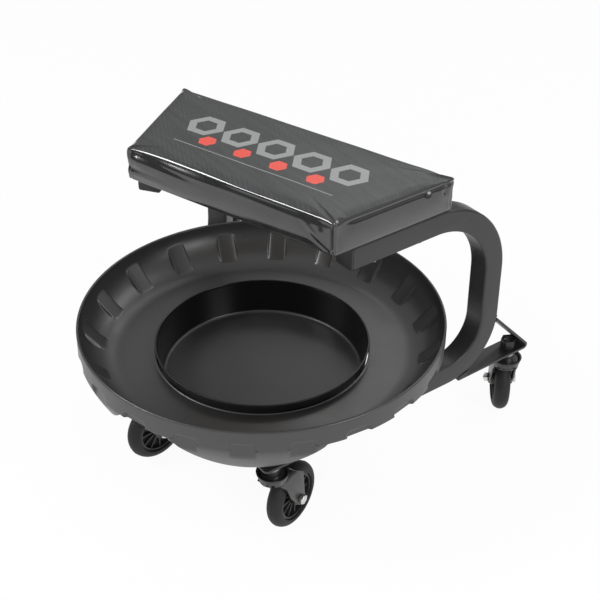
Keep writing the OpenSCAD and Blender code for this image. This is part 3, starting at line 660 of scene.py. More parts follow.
def seat_wrinkles(points, height):
    """Moves points in or out: ears and creases at the corners, pulled folds, dimples and a soft
    waviness.

    A crease is a narrow bell beside a corner; a fold is a bell across a level or slanted line on
    a side. The array z is a view of the points, so it follows when the front edge is lowered."""
    p = points.copy()
    z = p[:, 2]
    side_zone = np.clip((z - 2) / 6, 0, 1) * np.clip((height - 1 - z) / 4, 0, 1)
    outward = p[:, :2] - SEAT_MIDDLE
    half = SEAT_FRONT_HALF + (p[:, 1] - SEAT_FRONT) * SLOPE
    on_side = fade(half - np.abs(p[:, 0]), 6)
    ahead, behind = p[:, 1] - SEAT_FRONT, SEAT_BACK - p[:, 1]      # distances in from front, back
    on_front, on_back = fade(ahead, 6), fade(behind, 6)
    inward = np.zeros((len(p), 2))
    # Corners: the top is drawn out to an ear, with a crease beside the upright edge
    for i in (1, -1):
        for j, edge_y in ((-1, SEAT_FRONT), (1, SEAT_BACK)):
            d = p[:, :2] - [i * (SEAT_FRONT_HALF + (edge_y - SEAT_FRONT) * SLOPE), edge_y]
            across = (d[:, 0] * i - d[:, 1] * j) / math.sqrt(2)
            away = np.hypot(d[:, 0], d[:, 1])
            ear = 1.7 * np.exp(-(away / 9) ** 2) * smooth_step(z, height - 16, height - 2)
            depth = 1.9 * gauss(across, 2.0 * j, 1.1) - 0.8 * gauss(across, 4.6 * j, 1.4)
            depth -= 0.6 * gauss(across, -1.6 * j, 1.2)
            zone = np.clip((z + 2) / 9, 0, 1) * np.clip((height - 1.5 - z) / 5, 0, 1)
            amount = np.exp(-(away / 13) ** 2) * depth * zone - ear
            inward -= np.stack([i * amount, j * amount], axis=-1) / math.sqrt(2)
    # Front: a fold pulled down to the right corner, wide soft ones out of the left corner
    x_right, x_left = SEAT_FRONT_HALF - p[:, 0], SEAT_FRONT_HALF + p[:, 0]
    fold = 1.7 * gauss(z, x_right * 0.66 - 3, 2.4) * fade(x_right, 44)
    fold -= 0.9 * gauss(z, x_right * 0.66 + 3.0, 2.8) * fade(x_right, 52)
    left = fade(x_left, 110)
    fold += 1.5 * gauss(z, height - 5 - x_left * 0.09, 2.6) * left * smooth_step(x_left, 3, 14)
    fold -= 0.9 * gauss(z, height - 12 - x_left * 0.03, 3.4) * left
    fold += 1.5 * gauss(z, height - 22 - x_left * 0.02, 2.8) * fade(x_left, 62)
    fold -= 0.8 * gauss(z, 8, 4.0) * fade(x_left, 90)
    fold += 0.55 * gauss(z, height - 5.5, 2.2) * gauss(x_left, 190, 90)
    fold -= 0.4 * gauss(z, 15, 7.0) * gauss(x_left, 180, 80)
    inward[:, 1] += fold * on_front * side_zone
    # The front's top edge is rolled over, most on its left half
    share = 0.45 + 0.55 * gauss(x_left, 66, 58) - 0.4 * gauss(x_left, 0, 13)
    share -= 0.3 * gauss(x_right, 0, 20)
    inward[:, 1] += 3.3 * smooth_step(z, height - 9.0, height - 1.8) * share * fade(ahead, 16)
    p[:, 2] -= 1.3 * smooth_step(z, height - 6, height - 0.5) * share * fade(ahead, 12) ** 2
    # Slanted sides: a crease under the top edge, two dimples and a flat pulled patch at the back
    for i in (1, -1):
        fold = 1.4 * gauss(z, height - 4.4, 1.8) * smooth_step(ahead, 4, 30)
        fold += 1.1 * gauss(z, behind * 0.7 + 6, 3.2) * fade(behind, 46)
        fold -= 0.7 * gauss(z, behind * 0.7 - 1.5, 3.0) * fade(behind, 40)
        fold += 1.5 * gauss(behind, 15, 2.6) * gauss(z, height - 12, 2.6)
        fold += 1.5 * gauss(behind, 36, 3.0) * gauss(z, height - 7, 2.4)
        inward[:, 0] -= i * fold * ((p[:, 0] * i > 0) * on_side * side_zone)
    # Back: pulled in the same way at its corners
    for i in (1, -1):
        x_end = SEAT_FRONT_HALF + SEAT_DEPTH * SLOPE - i * p[:, 0]
        fold = 1.2 * gauss(z, x_end * 0.55 - 2, 2.8) * fade(x_end, 50)
        inward[:, 1] -= fold * on_back * side_zone
    p[:, :2] += inward
    # A slow waviness of the whole cover, in three sine waves
    x, y = p[:, 0], p[:, 1]
    wave = (np.sin(x / 31 + 1.3) * np.sin(y / 23 + 0.4) + 0.6 * np.sin((x + y) / 17)
            + 0.4 * np.sin((x - 1.7 * y) / 12 + 2))
    length_out = np.maximum(np.linalg.norm(outward, axis=1), 1)[:, None]
    p[:, :2] += outward / length_out * (0.16 * wave * side_zone)[:, None]
    p[:, 2] += 0.16 * wave * np.clip((z - height + 2) / 2, 0, 1)
    return p


class WORKSEAT_OT_cushion(bpy.types.Operator):
    """Makes the padded seat: rings of a trapezium, blown up as cloth, then drawn into folds"""
    bl_idname = "workseat.cushion"
    bl_label = "Seat cushion"

    def execute(self, context):
        size = context.scene.seat_sizes
        rings = seat_surface(size)
        rows, cols = rings.shape[:2]
        poles = [[*SEAT_MIDDLE, POCKET_TOP], [*SEAT_MIDDLE, size.height + size.crown]]
        points = np.concatenate([rings.reshape(-1, 3), poles])
        around = np.arange(cols)
        step = (around + 1) % cols
        first_pole, last = np.full(cols, rows * cols), (rows - 1) * cols
        quads = grid_quads(rows, cols).tolist()
        quads += np.column_stack([first_pole, step, around]).tolist()
        quads += np.column_stack([first_pole + 1, last + around, last + step]).tolist()
        obj = new_object("seat_cover", points, quads)
        pinned = np.zeros(len(points), bool)
        pinned[:HEM_RINGS * cols] = pinned[rows * cols] = True
        pillow(obj, pinned, size.pressure, size.puff)
        smooth = obj.modifiers.new("Smooth", "SUBSURF")
        smooth.levels = smooth.render_levels = 2
        work_in(obj)
        mesh = obj.data
        shaped = seat_wrinkles(positions(mesh), size.height) + [0, TRAY_MID[1], SEAT_LOW]
        set_positions(mesh, shaped)
        mesh.materials.clear()
        mesh.materials.append(surface("Seat vinyl"))
        mesh.materials.append(surface("Seat top vinyl"))
        mesh.update()
        vectors = np.empty((2, len(mesh.polygons) * 3), np.float32)
        mesh.polygons.foreach_get("normal", vectors[0])
        mesh.polygons.foreach_get("center", vectors[1])
        normal, centre = vectors.reshape(2, -1, 3)
        upward = (normal[:, 2] > 0.9) & (centre[:, 2] / MM > SEAT_LOW + size.height - 2)
        mesh.polygons.foreach_set("material_index", upward.astype(np.int32))
        shade(mesh)
        settle(obj, "frame", None, ["seat_cushion"])
        dressed_copy("seat_board", "plywood", "Plywood", 0.5)
        return {"FINISHED"}


# ---- tray

BLOCK_TOP, BLOCK_END = 66.7, 17.0     # where a block's face meets the bowl, in degrees below level
BLOCK_SLOPE = 6.98 / 3.2              # how fast a block's sides sink into the bowl
BLOCK_FOOT, BLOCK_ROUND = 1.1, 0.35   # rounding at a block's sides and at its edge
BLOCK_GIVE = 0.03                     # what that rounding takes from the bowl, given back
LOBE_START, LOBE_CURVE = 0.6, 1.35    # least lean of a lobe's edge; how its lean grows downwards
HOLLOW_EDGE = (-2.2, 1.6)             # a hollow's side, from inside to outside its outline
HOLLOW_WALL = 1.6                     # least wall behind a hollow
# Columns beside a feature's side, measured from it
BLOCK_COLUMNS = [-0.5, -0.1, 0.25, 0.6, 0.95, 1.3, 1.65, 2.0, 2.4, 2.9, 3.6, 4.8]
HOLLOW_COLUMNS = [-3.8, -2.5, -1.6, -1.0, -0.5, -0.1, 0.3, 0.7, 1.2, 1.8, 3.0, 5.5]


def tray_rows(t):
    """The tray's closed half section as rows of (zone, then what the zone asks for).

    A plain row and one of the skirt give radius and height, one of the bowl its angle in degrees
    below the level. A row of the lobes gives its share of the way down to the lobe's edge, how
    far it is in from the lobe's face, the same where there is no lobe, and its rise over the
    edge."""
    wall, bowl, mid, rim = t.wall, t.bowl, t.outer - t.wall - t.bowl, TRAY_RIM - t.wall / 2
    floor, skirt, top = rim - bowl, TRAY_RIM - t.skirt, TRAY_RIM - t.band
    hole, low = t.hole, t.collar_bottom
    rows = []

    def put(zone, *values):
        rows.append((zone, *values))

    for z in np.linspace(low + 0.5, floor - 0.3, 4)[1:]:
        put("plain", hole, z)
    for r, z in ((0.1, 0.25), (0.35, 0.62), (0.8, 0.8), (1.25, 0.62), (1.7, 0.22), (2.3, 0.0)):
        put("plain", hole + r, floor + z)
    for r in np.linspace(hole + wall + 0.3, mid, 6):
        put("plain", r, floor)
    for a in (*np.linspace(88, 69, 5), 67.6, BLOCK_TOP, 65.6, *np.linspace(63.5, 20.5, 18),
              19.0, 18.0, BLOCK_END, 16.2, 15.0, *np.linspace(12.5, 1.5, 4)):
        put("bowl", a)
    for a in np.radians(np.linspace(180, 0, 10)):
        put("plain", t.outer - wall / 2 + wall / 2 * np.cos(a), rim + wall / 2 * np.sin(a))
    for z in (rim - 3, rim - 7, rim - 11, top + 2.4, top + 1.5, top + 0.9, top + 0.4, top,
              top - 0.4, top - 0.9, top - 1.6, top - 2.6, top - 3.8, top - 5.2, top - 6.4,
              skirt + 0.8):
        put("skirt", t.outer, z)
    put("skirt", t.outer - 0.25, skirt + 0.25)
    for share in (0.0, 0.06, 0.13, 0.2, 0.3, 0.42, 0.55, 0.7, 0.85):
        put("lobe", share, 0.0, 0.2 + 1.1 * share, 0.0)
    for inset, flat, rise in ((0.0, 1.2, 0.9), (0.2, 1.3, 0.3), (0.7, 1.4, 0.0),
                              (wall - 0.7, 1.6, 0.0), (wall - 0.2, 1.7, 0.3), (wall, 1.8, 0.9)):
        put("lobe", 1.0, inset, flat, rise)
    for share in (0.8, 0.5, 0.25, 0.0):
        put("lobe", share, wall, wall - 1.1 * share, 0.0)
    outer = bowl + wall
    first = math.degrees(math.asin((rim - skirt) / outer))
    for a in np.radians(np.linspace(first, 90, 11)):
        put("plain", mid + outer * np.cos(a), rim - outer * np.sin(a))
    for r, z in ((wall + 9, floor - wall), (wall, floor - wall), (wall, low + 0.5),
                 (wall - 0.5, low), (0.5, low)):
        put("plain", hole + r, z)
    return rows


def warped(count, marks, turn, radius, columns):
    """Azimuths of the columns at a radius: in each of the features they follow lines at marked
    distances from its middle."""
    per_feature = columns // count
    half, fixed = per_feature // 2, len(marks) - 1
    feature, step = np.divmod(np.arange(columns), per_feature)
    before = step <= half
    index = np.where(before, step, per_feature - step)
    pitch = 2 * np.pi / count
    inner = np.arcsin(np.clip(marks[-1] / radius, -1, 1))
    near = np.arcsin(np.clip(marks[np.minimum(index, fixed)] / radius, -1, 1))
    share = np.clip((index - fixed) / max(half - fixed, 1), 0, 1)
    away = np.where(index <= fixed, near, inner + (pitch / 2 - inner) * share)
    first = np.where(before, feature, feature + 1)
    return turn + first * pitch + np.where(before, 1.0, -1.0) * away


def wrapped(angle):
    """An angle brought between -pi and pi."""
    return (angle + np.pi) % (2 * np.pi) - np.pi


def from_nearest(azimuth, places):
    """Angles from the nearest of some azimuths."""
    d = wrapped(azimuth[:, None] - places[None])
    return d[np.arange(len(azimuth)), np.argmin(np.abs(d), axis=1)]


def tray_grid(t):
    """Azimuth, radius and height of the tray's points, row by row of its section."""
    rows = tray_rows(t)
    columns = t.blocks * t.treads * 2
    mid, rim = t.outer - t.wall - t.bowl, TRAY_RIM - t.wall / 2
    skirt, top = TRAY_RIM - t.skirt, TRAY_RIM - t.band
    half_block, half_tread = t.block / 2, t.tread / 2
    block_marks = np.concatenate([np.linspace(0, half_block - 1.0, 5),
                                  half_block + np.array(BLOCK_COLUMNS)])
    tread_marks = np.concatenate([np.linspace(0, half_tread - 5.4, 4),
                                  half_tread + np.array(HOLLOW_COLUMNS)])
    block_turn, tread_turn = math.radians(t.block_turn), math.radians(t.tread_turn)
    blocks_at = block_turn + 2 * np.pi * np.arange(t.blocks) / t.blocks
    treads_at = tread_turn + 2 * np.pi * np.arange(t.treads) / t.treads
    lobes_at = np.radians([-t.lobe_turn, t.lobe_turn - 180])
    face = t.bowl * math.cos(math.radians((BLOCK_TOP - BLOCK_END) / 2))
    face_sin, face_cos = math.sin(math.radians(t.block_mid)), math.cos(math.radians(t.block_mid))
    tread_face = t.outer - t.tread_depth
    # Both maps start at their own feature; the shift keeps the columns from twisting round
    shift = int(round((block_turn - tread_turn) / (2 * np.pi) * columns))

    def tread_azimuths(radius):
        return np.roll(warped(t.treads, tread_marks, tread_turn, radius, columns), -shift)

    def across_tread(azimuth):
        """Angle from the nearest hollow's middle, and a mask that is one within its sides."""
        d = from_nearest(azimuth, treads_at)
        return d, 1 - smooth_step(np.abs(t.outer * np.sin(d)) - half_tread, *HOLLOW_EDGE)

    def pressed(radius, d, mask, wall=0.0):
        """A radius pressed in to a hollow's flat face, less a wall, as far as the mask goes."""
        return radius - np.maximum(radius - (tread_face / np.cos(d) - wall), 0) * mask

    def bowl_row(degrees):
        """The bowl's curve, cut off by the flat faces of the blocks and their sides."""
        cosine, sine = math.cos(math.radians(degrees)), math.sin(math.radians(degrees))
        azimuth = warped(t.blocks, block_marks, block_turn, mid + t.bowl * cosine, columns)
        d = from_nearest(azimuth, blocks_at)
        beside = np.abs((mid + t.bowl * cosine) * np.sin(d)) - half_block
        level = face + BLOCK_SLOPE * soft_up(beside, BLOCK_FOOT)
        reach = (level + mid * (1 - np.cos(d)) * face_cos) / (
            cosine * np.cos(d) * face_cos + sine * face_sin)
        radius = soft_min(np.full(columns, t.bowl), reach, BLOCK_ROUND)
        radius = np.minimum(radius + BLOCK_GIVE, t.bowl)
        return azimuth, mid + radius * cosine, rim - radius * sine

    def skirt_row(r, z):
        """The skirt outside, with hollows of straight sides, a flat top and rounded corners."""
        azimuth = tread_azimuths(r)
        d = from_nearest(azimuth, treads_at)
        dx = np.abs(r * np.sin(d)) - (half_tread - t.tread_corner)
        dz = z - (top - t.tread_corner)
        outside = np.hypot(np.maximum(dx, 0), np.maximum(dz, 0)) + np.minimum(np.maximum(dx, dz), 0)
        mask = 1 - smooth_step(outside - t.tread_corner, *HOLLOW_EDGE)
        # The rounding of the lower edge is left out where a lobe goes on below it
        aside = np.sin(from_nearest(azimuth, lobes_at)) * t.outer / (t.lobe / 2)
        return azimuth, pressed(np.where(np.abs(aside) < 1, t.outer, r), d, mask), z

    def lobe_row(share, inset, flat, rise):
        """The lobes: seen along its middle, a lobe's edge is a parabola."""
        azimuth = tread_azimuths(t.outer)
        aside = np.sin(from_nearest(azimuth, lobes_at))
        # How far the edge hangs depends on its radius, which depends on how far it hangs
        edge_r = np.full(columns, t.outer)
        for _ in range(12):
            hang = t.lobe_drop * np.clip(1 - (edge_r * aside / (t.lobe / 2)) ** 2, 0, 1)
            lean = LOBE_START + (t.lobe_lean - LOBE_START) * hang / t.lobe_drop
            edge_r = t.outer - lean
        there = smooth_step(hang, 0, 5)
        z = skirt - hang * share + rise * there
        d, mask = across_tread(azimuth)
        face_r = t.outer - t.lobe_lean * np.clip((skirt - z) / t.lobe_drop, 0, 1) ** LOBE_CURVE
        r = face_r - inset * there - flat * (1 - there)
        # The inner side keeps behind the hollow's face
        limit = pressed(face_r, d, mask) - (0 if inset < t.wall / 2 else HOLLOW_WALL)
        return azimuth, r - np.maximum(r - limit, 0) * mask, z

    zones = [zone for zone, *_ in rows]
    first_bowl, first_skirt = zones.index("bowl"), zones.index("skirt")
    last_bowl = len(zones) - 1 - zones[::-1].index("bowl")
    last_lobe = len(zones) - 1 - zones[::-1].index("lobe")
    forms = {"plain": lambda r, z: (0, r, z), "bowl": bowl_row, "skirt": skirt_row,
             "lobe": lobe_row}
    count = len(rows)
    grid = np.empty((count, columns, 3))
    for k, (zone, *values) in enumerate(rows):
        grid[k, :, 0], grid[k, :, 1], grid[k, :, 2] = forms[zone](*values)
    # Plain rows take their azimuths from the warped rows at their two ends
    for k in [k for k in range(count) if zones[k] == "plain"]:
        if last_bowl < k < first_skirt:
            share = (k - last_bowl) / (first_skirt - last_bowl)
            a, b = grid[last_bowl, :, 0], grid[first_skirt, :, 0]
            grid[k, :, 0] = a + wrapped(b - a) * share
            continue
        share = ((k - last_lobe) % count) / ((first_bowl - last_lobe) % count)
        a, b = grid[last_lobe, :, 0], grid[first_bowl, :, 0]
        grid[k, :, 0] = a + wrapped(b - a) * share
        # Inside the skirt the wall keeps behind the hollows too
        azimuth, r, z = grid[k].T
        if t.outer - t.wall - 0.6 < r[0] < t.outer - 1:
            d, mask = across_tread(azimuth)
            grid[k, :, 1] = pressed(r, d, mask * smooth_step(top - z, -2, 2), HOLLOW_WALL)
    return grid


BOSS_SIDES, BOSSES_ALONG = 32, (-20.0, 60.0)


def boss_section(t):
    """Closed section (radius, height) of a screw boss under the floor, with a blind hole."""
    under, low = TRAY_RIM - t.wall - t.bowl, t.collar_bottom - 1.3
    return np.array([[0, under], [7, under], [7, low + 0.4], [6.6, low], [2.95, low],
                     [2.55, low + 0.4], [2.55, low + 7], [0, low + 7]])


class WORKSEAT_OT_tray(bpy.types.Operator):
    """Makes the moulded tray as one closed surface, with its blocks, tread hollows and bosses"""
    bl_idname = "workseat.tray"
    bl_label = "Tool tray"

    def execute(self, context):
        t = context.scene.tray_sizes
        azimuth, r, z = np.moveaxis(tray_grid(t), -1, 0)
        points = [np.stack([TRAY_MID[0] + r * np.cos(azimuth), TRAY_MID[1] + r * np.sin(azimuth),
                            z], axis=-1).reshape(-1, 3)]
        faces = grid_quads(*r.shape, True)[:, ::-1].tolist()
        section = boss_section(t)
        quads, base = grid_quads(len(section), BOSS_SIDES, True)[:, ::-1], r.size
        for side in (1, -1):
            for along in BOSSES_ALONG:
                at = on_tube(side, np.array([0.0, along, 0.0]))
                points.append(turned(section, at, BOSS_SIDES).reshape(-1, 3))
                faces += (quads + base).tolist()
                base += len(points[-1])
        obj = new_object("tool_tray", np.concatenate(points), faces, 50)
        merge_points(obj)
        settle(obj, "frame", surface("Tray plastic"), ["tray"])
        return {"FINISHED"}


FOOT_INSIDE, FOOT_OUTSIDE, PAN_BEAD, PAN_SIDES = 4.0, 2.4, 1.1, 300


class WORKSEAT_OT_pan(bpy.types.Operator):
    """Turns the parts pan: a flat floor, a rounded foot, a leaning wall and a beaded rim"""
    bl_idname = "workseat.pan"
    bl_label = "Parts pan"

    def execute(self, context):
        t = context.scene.tray_sizes
        low, high = box_mm("parts_pan")
        wall, mouth, foot = t.pan_wall, t.pan_mouth, t.pan_floor
        bottom, rim = low[2], high[2] - PAN_BEAD
        floor = bottom + wall
        lean = math.atan2(mouth - foot, rim - floor)

        def arc(r, z, radius, start, end, steps):
            return [(r + radius * np.cos(a), z + radius * np.sin(a))
                    for a in np.radians(np.linspace(start, end, steps))]

        def up_wall(r, start, end, steps):
            return [(r + (mouth - foot) * s, floor + (rim - floor) * s)
                    for s in np.linspace(start, end, steps)]

        profile = [(r, floor) for r in (0, 20, 45, 70, 90, foot - FOOT_INSIDE - 3)]
        profile += arc(foot - FOOT_INSIDE + 0.25, floor + FOOT_INSIDE, FOOT_INSIDE, -90,
                       -math.degrees(lean), 9)
        profile += up_wall(foot, 0.16, 0.93, 9)
        profile += arc(mouth + wall / 2, rim, PAN_BEAD, 215, -35, 16)
        profile += up_wall(foot + wall / math.cos(lean), 0.93, 0.1, 7)
        profile += arc(foot + wall - FOOT_OUTSIDE, bottom + FOOT_OUTSIDE, FOOT_OUTSIDE, 0, -90, 7)
        profile += [(r, bottom) for r in (90, 45, 0)]
        points = turned(np.array(profile)[::-1], middle_of("parts_pan"), PAN_SIDES)
        obj = new_object("small_parts_pan", points,
                         grid_quads(len(profile), PAN_SIDES, True).tolist())
        merge_points(obj)
        settle(obj, "parts_pan", surface("Pan plastic"), ["parts_pan"])
        return {"FINISHED"}


# ---- frame

COATED = ("powder_coat", "Powder coat")
SIDE_PARTS = (("_frame_tube", *COATED), ("_front_plate", *COATED, 0.5),
              ("_rear_bracket", *COATED, 0.5))
CROSS_PARTS = (("front_cross_strap", *COATED, 0.4), ("rear_cross_strap", *COATED, 0.4),
               ("arm_end_caps", "cap_plastic", "Cap plastic", 0.7, 3),
               ("leg_end_caps", "cap_plastic", "Cap plastic", 0.7, 3))


class WORKSEAT_OT_frame(bpy.types.Operator):
    """Dresses the C tubes, their caps, the cross straps, the plates and the rear brackets"""
    bl_idname = "workseat.frame"
    bl_label = "Frame"

    def execute(self, context):
        for side in ("right", "left"):
            dress(SIDE_PARTS, side)
        dress(CROSS_PARTS)
        return {"FINISHED"}


HALF_TUBE, LEG_LOW = 12.7, 109.8                   # half the tube's width; underside of a leg
BEND_Y, BEND_Z, BEND_R = 152.8, 179.2, 69.4        # middle and outer radius of the C's bend
PLATE_END, BRACKET_END = -62.3, 168.7


class WORKSEAT_OT_welds(bpy.types.Operator):
    """Lays weld beads where plates and brackets meet the tubes"""
    bl_idname = "workseat.welds"
    bl_label = "Weld beads"

    def execute(self, context):
        grids = []
        foot_y = np.linspace(169.5, 186, 12)
        foot_z = (BEND_Z - np.sqrt(BEND_R ** 2 - (foot_y - BEND_Y) ** 2) + LEG_LOW) / 2
        for side in (1, -1):
            def bead(path, radius, seed):
                path = on_tube(side, np.asarray(path, float))
                grids.append(bead_points(path, radius, seed + side))

            def bead_across(y, z, radius, seed):
                bead([[-HALF_TUBE + 1, y, z], [HALF_TUBE - 1, y, z]], radius, seed)

            # Bracket to the foot of the bend: both sides and across its front end
            for i in (1, -1):
                x = np.full(len(foot_y), i * (HALF_TUBE - 0.9))
                bead(np.column_stack([x, foot_y, foot_z]), 1.9, 3 + i)
            bead_across(BRACKET_END, LEG_LOW + 0.9, 1.7, 7)
            # Brace to the back of the bend, above and below
            for z, out, seed in ((173.2, 0.5, 11), (166.6, 1.0, 13)):
                bead_across(BEND_Y + math.sqrt(BEND_R ** 2 - (BEND_Z - z) ** 2) + out, z, 1.6, seed)
            # Front plate to the leg's end and sides
            bead_across(PLATE_END, LEG_LOW + 0.4, 1.2, 17)
            for i in (1, -1):
                x, z = i * (HALF_TUBE - 0.7), LEG_LOW + 0.2
                bead([[x, -58, z], [x, -38, z]], 1.3, 19 + i)
        settle(joined_grids("weld_beads", grids), "frame", surface("Painted weld"))
        return {"FINISHED"}


# ---- casters and fasteners

TYRE_SIDES, TYRE_BASE = 96, 1.4              # steps round; depth of the straight base
LINE_RISE, LINE_WIDTH = 0.18, 3.0            # of the moulding line, in mm and degrees


def tyre_piece(corner):
    """A tyre turned about its axle: a full round tread on a short parallel base, with a faint
    moulding line."""
    node = corner + "_tyre"
    points = positions(frame["nodes"][node].data)
    centre = (points.min(0) + points.max(0)) / 2
    points = points - centre
    # The axle is the direction in which the tyre's points spread least
    axle = unit(np.linalg.eigh(points.T @ points)[1][:, 0])
    across = unit(np.cross([0, 0, 1.0], axle))
    up = np.cross(axle, across)
    outer, half = np.abs(points @ up).max(), np.abs(points @ axle).max()
    base = outer - half - TYRE_BASE
    a = np.radians(np.linspace(-90, 90, 31))
    r = outer - half + (half - LINE_RISE) * np.cos(a)
    r = r + LINE_RISE * gauss(np.degrees(a), 0, LINE_WIDTH)
    profile = np.array([(base, -half + 0.5), (base + 0.5, -half), *zip(r, half * np.sin(a)),
                        (base + 0.5, half), (base, half - 0.5),
                        *((base, half * s) for s in (0.6, 0.0, -0.6))])
    turn = full_turn(TYRE_SIDES)[:, None]
    ring = across[None] * np.cos(turn) + up[None] * np.sin(turn)
    made = centre + profile[:, :1, None] * ring[None] + profile[:, 1:, None] * axle
    obj = new_object(node + "_piece", made, grid_quads(len(profile), TYRE_SIDES, True).tolist(), 50)
    turn_faces_out(obj)
    settle(obj, frame["nodes"][node]["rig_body"], surface("Tyre rubber"), [node])


PAINTED, PLATED = ("caster_steel", "Caster paint"), ("zinc", "Zinc plate")
CASTER_PARTS = (("_fork", *PAINTED, 0.35), ("_race", *PAINTED, 0.3), ("_stem", *PLATED, 0.3),
                ("_wheel_hub", "hub_plastic", "Hub plastic", 0.3), ("_axle_bolt", *PLATED, 0.35),
                ("_axle_nut", *PLATED, 0.35), ("_axle_sleeve", *PLATED),
                ("_balls", "bright_steel", "Bright steel", 0.0, 0, 0.0))
FASTENERS = (("stem_nuts", "zinc", "Black oxide", 0.6, 3),
             ("stem_lock_washers", "zinc", "Black oxide", 0.3), ("seat_bolts", *PLATED, 0.4),
             ("seat_bolt_washers", *PLATED, 0.2), ("seat_tee_nuts", *PLATED, 0.2),
             ("tray_screw_washers", *PLATED, 0.2), ("tray_screws", *PLATED, 0.5, 3))


class WORKSEAT_OT_casters(bpy.types.Operator):
    """Dresses the four swivel casters: forks, races, hubs, tyres, axle bolts and nuts"""
    bl_idname = "workseat.casters"
    bl_label = "Casters"

    def execute(self, context):
        for corner in CORNERS:
            dress(CASTER_PARTS, corner)
            tyre_piece(corner)
        return {"FINISHED"}


class WORKSEAT_OT_fasteners(bpy.types.Operator):
    """Dresses the nuts, washers, bolts and screws of the frame, the seat and the tray"""
    bl_idname = "workseat.fasteners"
    bl_label = "Fasteners"

    def execute(self, context):
        dress(FASTENERS)
        return {"FINISHED"}


# ---- stage

WHITE = (1, 1, 1, 1)
SENSOR, EYE = 36.0, (0.7300, -0.97873, 1.0233)
EYE_AZIMUTH, EYE_HEIGHT, EYE_ROLL = (math.radians(k) for k in (35.6449, 34.3241, 0.2342))
# Setting with the power, name, place, point it faces, width and height
LAMPS = (("front", "Front soft box", (1.3, -2.1, 0.9), (0, 0, 0.2), 2.2, 1.1),
         ("left", "Left soft box", (-1.45, -1.3, 1.95), (0, 0, 0.3), 1.0, 0.5),
         ("right", "Right strip", (2.4, -0.25, 1.3), (0, 0, 0.2), 0.9, 1.6),
         ("top", "Top soft box", (0.6, 1.9, 1.9), (0, 0, 0.3), 1.4, 0.7),
         ("back", "Back soft box", (-0.55, 1.3, 1.45), (0.1, 0, 0.3), 0.7, 0.4))
FLOOR_SPAN = 7000.0


def lamp(name, place, target, width, height, power):
    light = bpy.data.lights.new(name, "AREA")
    light.shape, light.size, light.size_y = "RECTANGLE", width, height
    light.energy = power
    obj = linked(name, light)
    obj.location = place
    obj.rotation_euler = (Vector(target) - Vector(place)).to_track_quat("-Z", "Y").to_euler()
    return obj


def rays(tree, kind):
    """One for a ray of some kind, such as Camera or Glossy."""
    return flow(tree, "ShaderNodeLightPath", output=f"Is {kind} Ray")


def glow(tree, kind, strength):
    """White light of a strength, from a background or an emission node."""
    return flow(tree, kind, {"Color": WHITE, "Strength": strength})


def shader_mix(factor, first, second):
    return flow(factor.tree, "ShaderNodeMixShader", {0: factor, 1: first, 2: second})


class WORKSEAT_OT_stage(bpy.types.Operator):
    """Sets the camera, the soft lamps, the white surroundings and a floor that keeps the shadow"""
    bl_idname = "workseat.stage"
    bl_label = "Stage"

    def execute(self, context):
        scene = context.scene
        s = scene.stage_look
        camera = bpy.data.cameras.new("Camera")
        camera.lens, camera.sensor_width = s.lens, SENSOR
        camera.clip_start, camera.clip_end = 0.05, 60.0
        eye = linked("Camera", camera)
        a, e = EYE_AZIMUTH, EYE_HEIGHT
        back = Vector((math.sin(a) * math.cos(e), -math.cos(a) * math.cos(e), math.sin(e)))
        right = Vector((math.cos(a), math.sin(a), 0))
        up = back.cross(right)
        rolled = (right * math.cos(EYE_ROLL) + up * math.sin(EYE_ROLL),
                  up * math.cos(EYE_ROLL) - right * math.sin(EYE_ROLL), back)
        eye.matrix_world = Matrix.Translation(EYE) @ Matrix(rolled).transposed().to_4x4()
        scene.camera = eye
        scene.view_settings.view_transform = "Standard"
        for setting, name, *form in LAMPS:
            light = lamp(name, *form, getattr(s, setting))
            light.visible_glossy = setting != "front"
        # World: white to the eye, a plain level elsewhere, and in reflections white above a
        # dimmer horizon, which reaches higher ahead of the seat than behind it
        world = scene.world = bpy.data.worlds.new("Surroundings")
        tree = empty_tree(world)
        _, y, z = split(flow(tree, "ShaderNodeTexCoord", output="Generated"))
        ahead = ramp(y, 0.1, -0.5)
        level = ramp(ahead * -0.26 + z, 0.10, 0.42, 0.2 * s.mirrored, s.mirrored)
        plain, gloss, white = (glow(tree, "ShaderNodeBackground", strength)
                               for strength in (s.surround, level, 1.0))
        seen = rays(tree, "Camera").math("MAXIMUM", rays(tree, "Transmission"))
        unseen = shader_mix(rays(tree, "Glossy"), plain, gloss)
        add(tree, "ShaderNodeOutputWorld", {"Surface": shader_mix(seen, unseen, white)})
        # Floor: pale paper that the eye and reflections see as near white, darkened where the
        # seat shades it
        span = FLOOR_SPAN
        corners = [[-span, -span, 0], [span, -span, 0], [span, span, 0], [-span, span, 0]]
        floor = new_object("Floor", corners, [[0, 1, 2, 3]])
        material = bpy.data.materials.new("Pale floor")
        tree = empty_tree(material)
        paper = flow(tree, "ShaderNodeBsdfDiffuse", {"Color": (0.8, 0.8, 0.8, 1)})
        share = rays(tree, "Camera").math("MAXIMUM", rays(tree, "Glossy")) * s.floor_white
        mixed = shader_mix(share, paper, glow(tree, "ShaderNodeEmission", 1.0))
        add(tree, "ShaderNodeOutputMaterial", {"Surface": mixed})
        floor.data.materials.append(material)
        return {"FINISHED"}


# ---- settings and panel

def colour(name, text, value):
    return FloatVectorProperty(name=name, description=text, subtype="COLOR", size=3, min=0, max=1,
                               default=value)


def length(name, text, value):
    return FloatProperty(name=name, description=text + ", in millimetres", min=0, default=value)


def number(name, text, value, **more):
    return FloatProperty(name=name, description=text, default=value, **more)


def whole(name, text, value):
    return IntProperty(name=name, description=text, min=1, default=value)


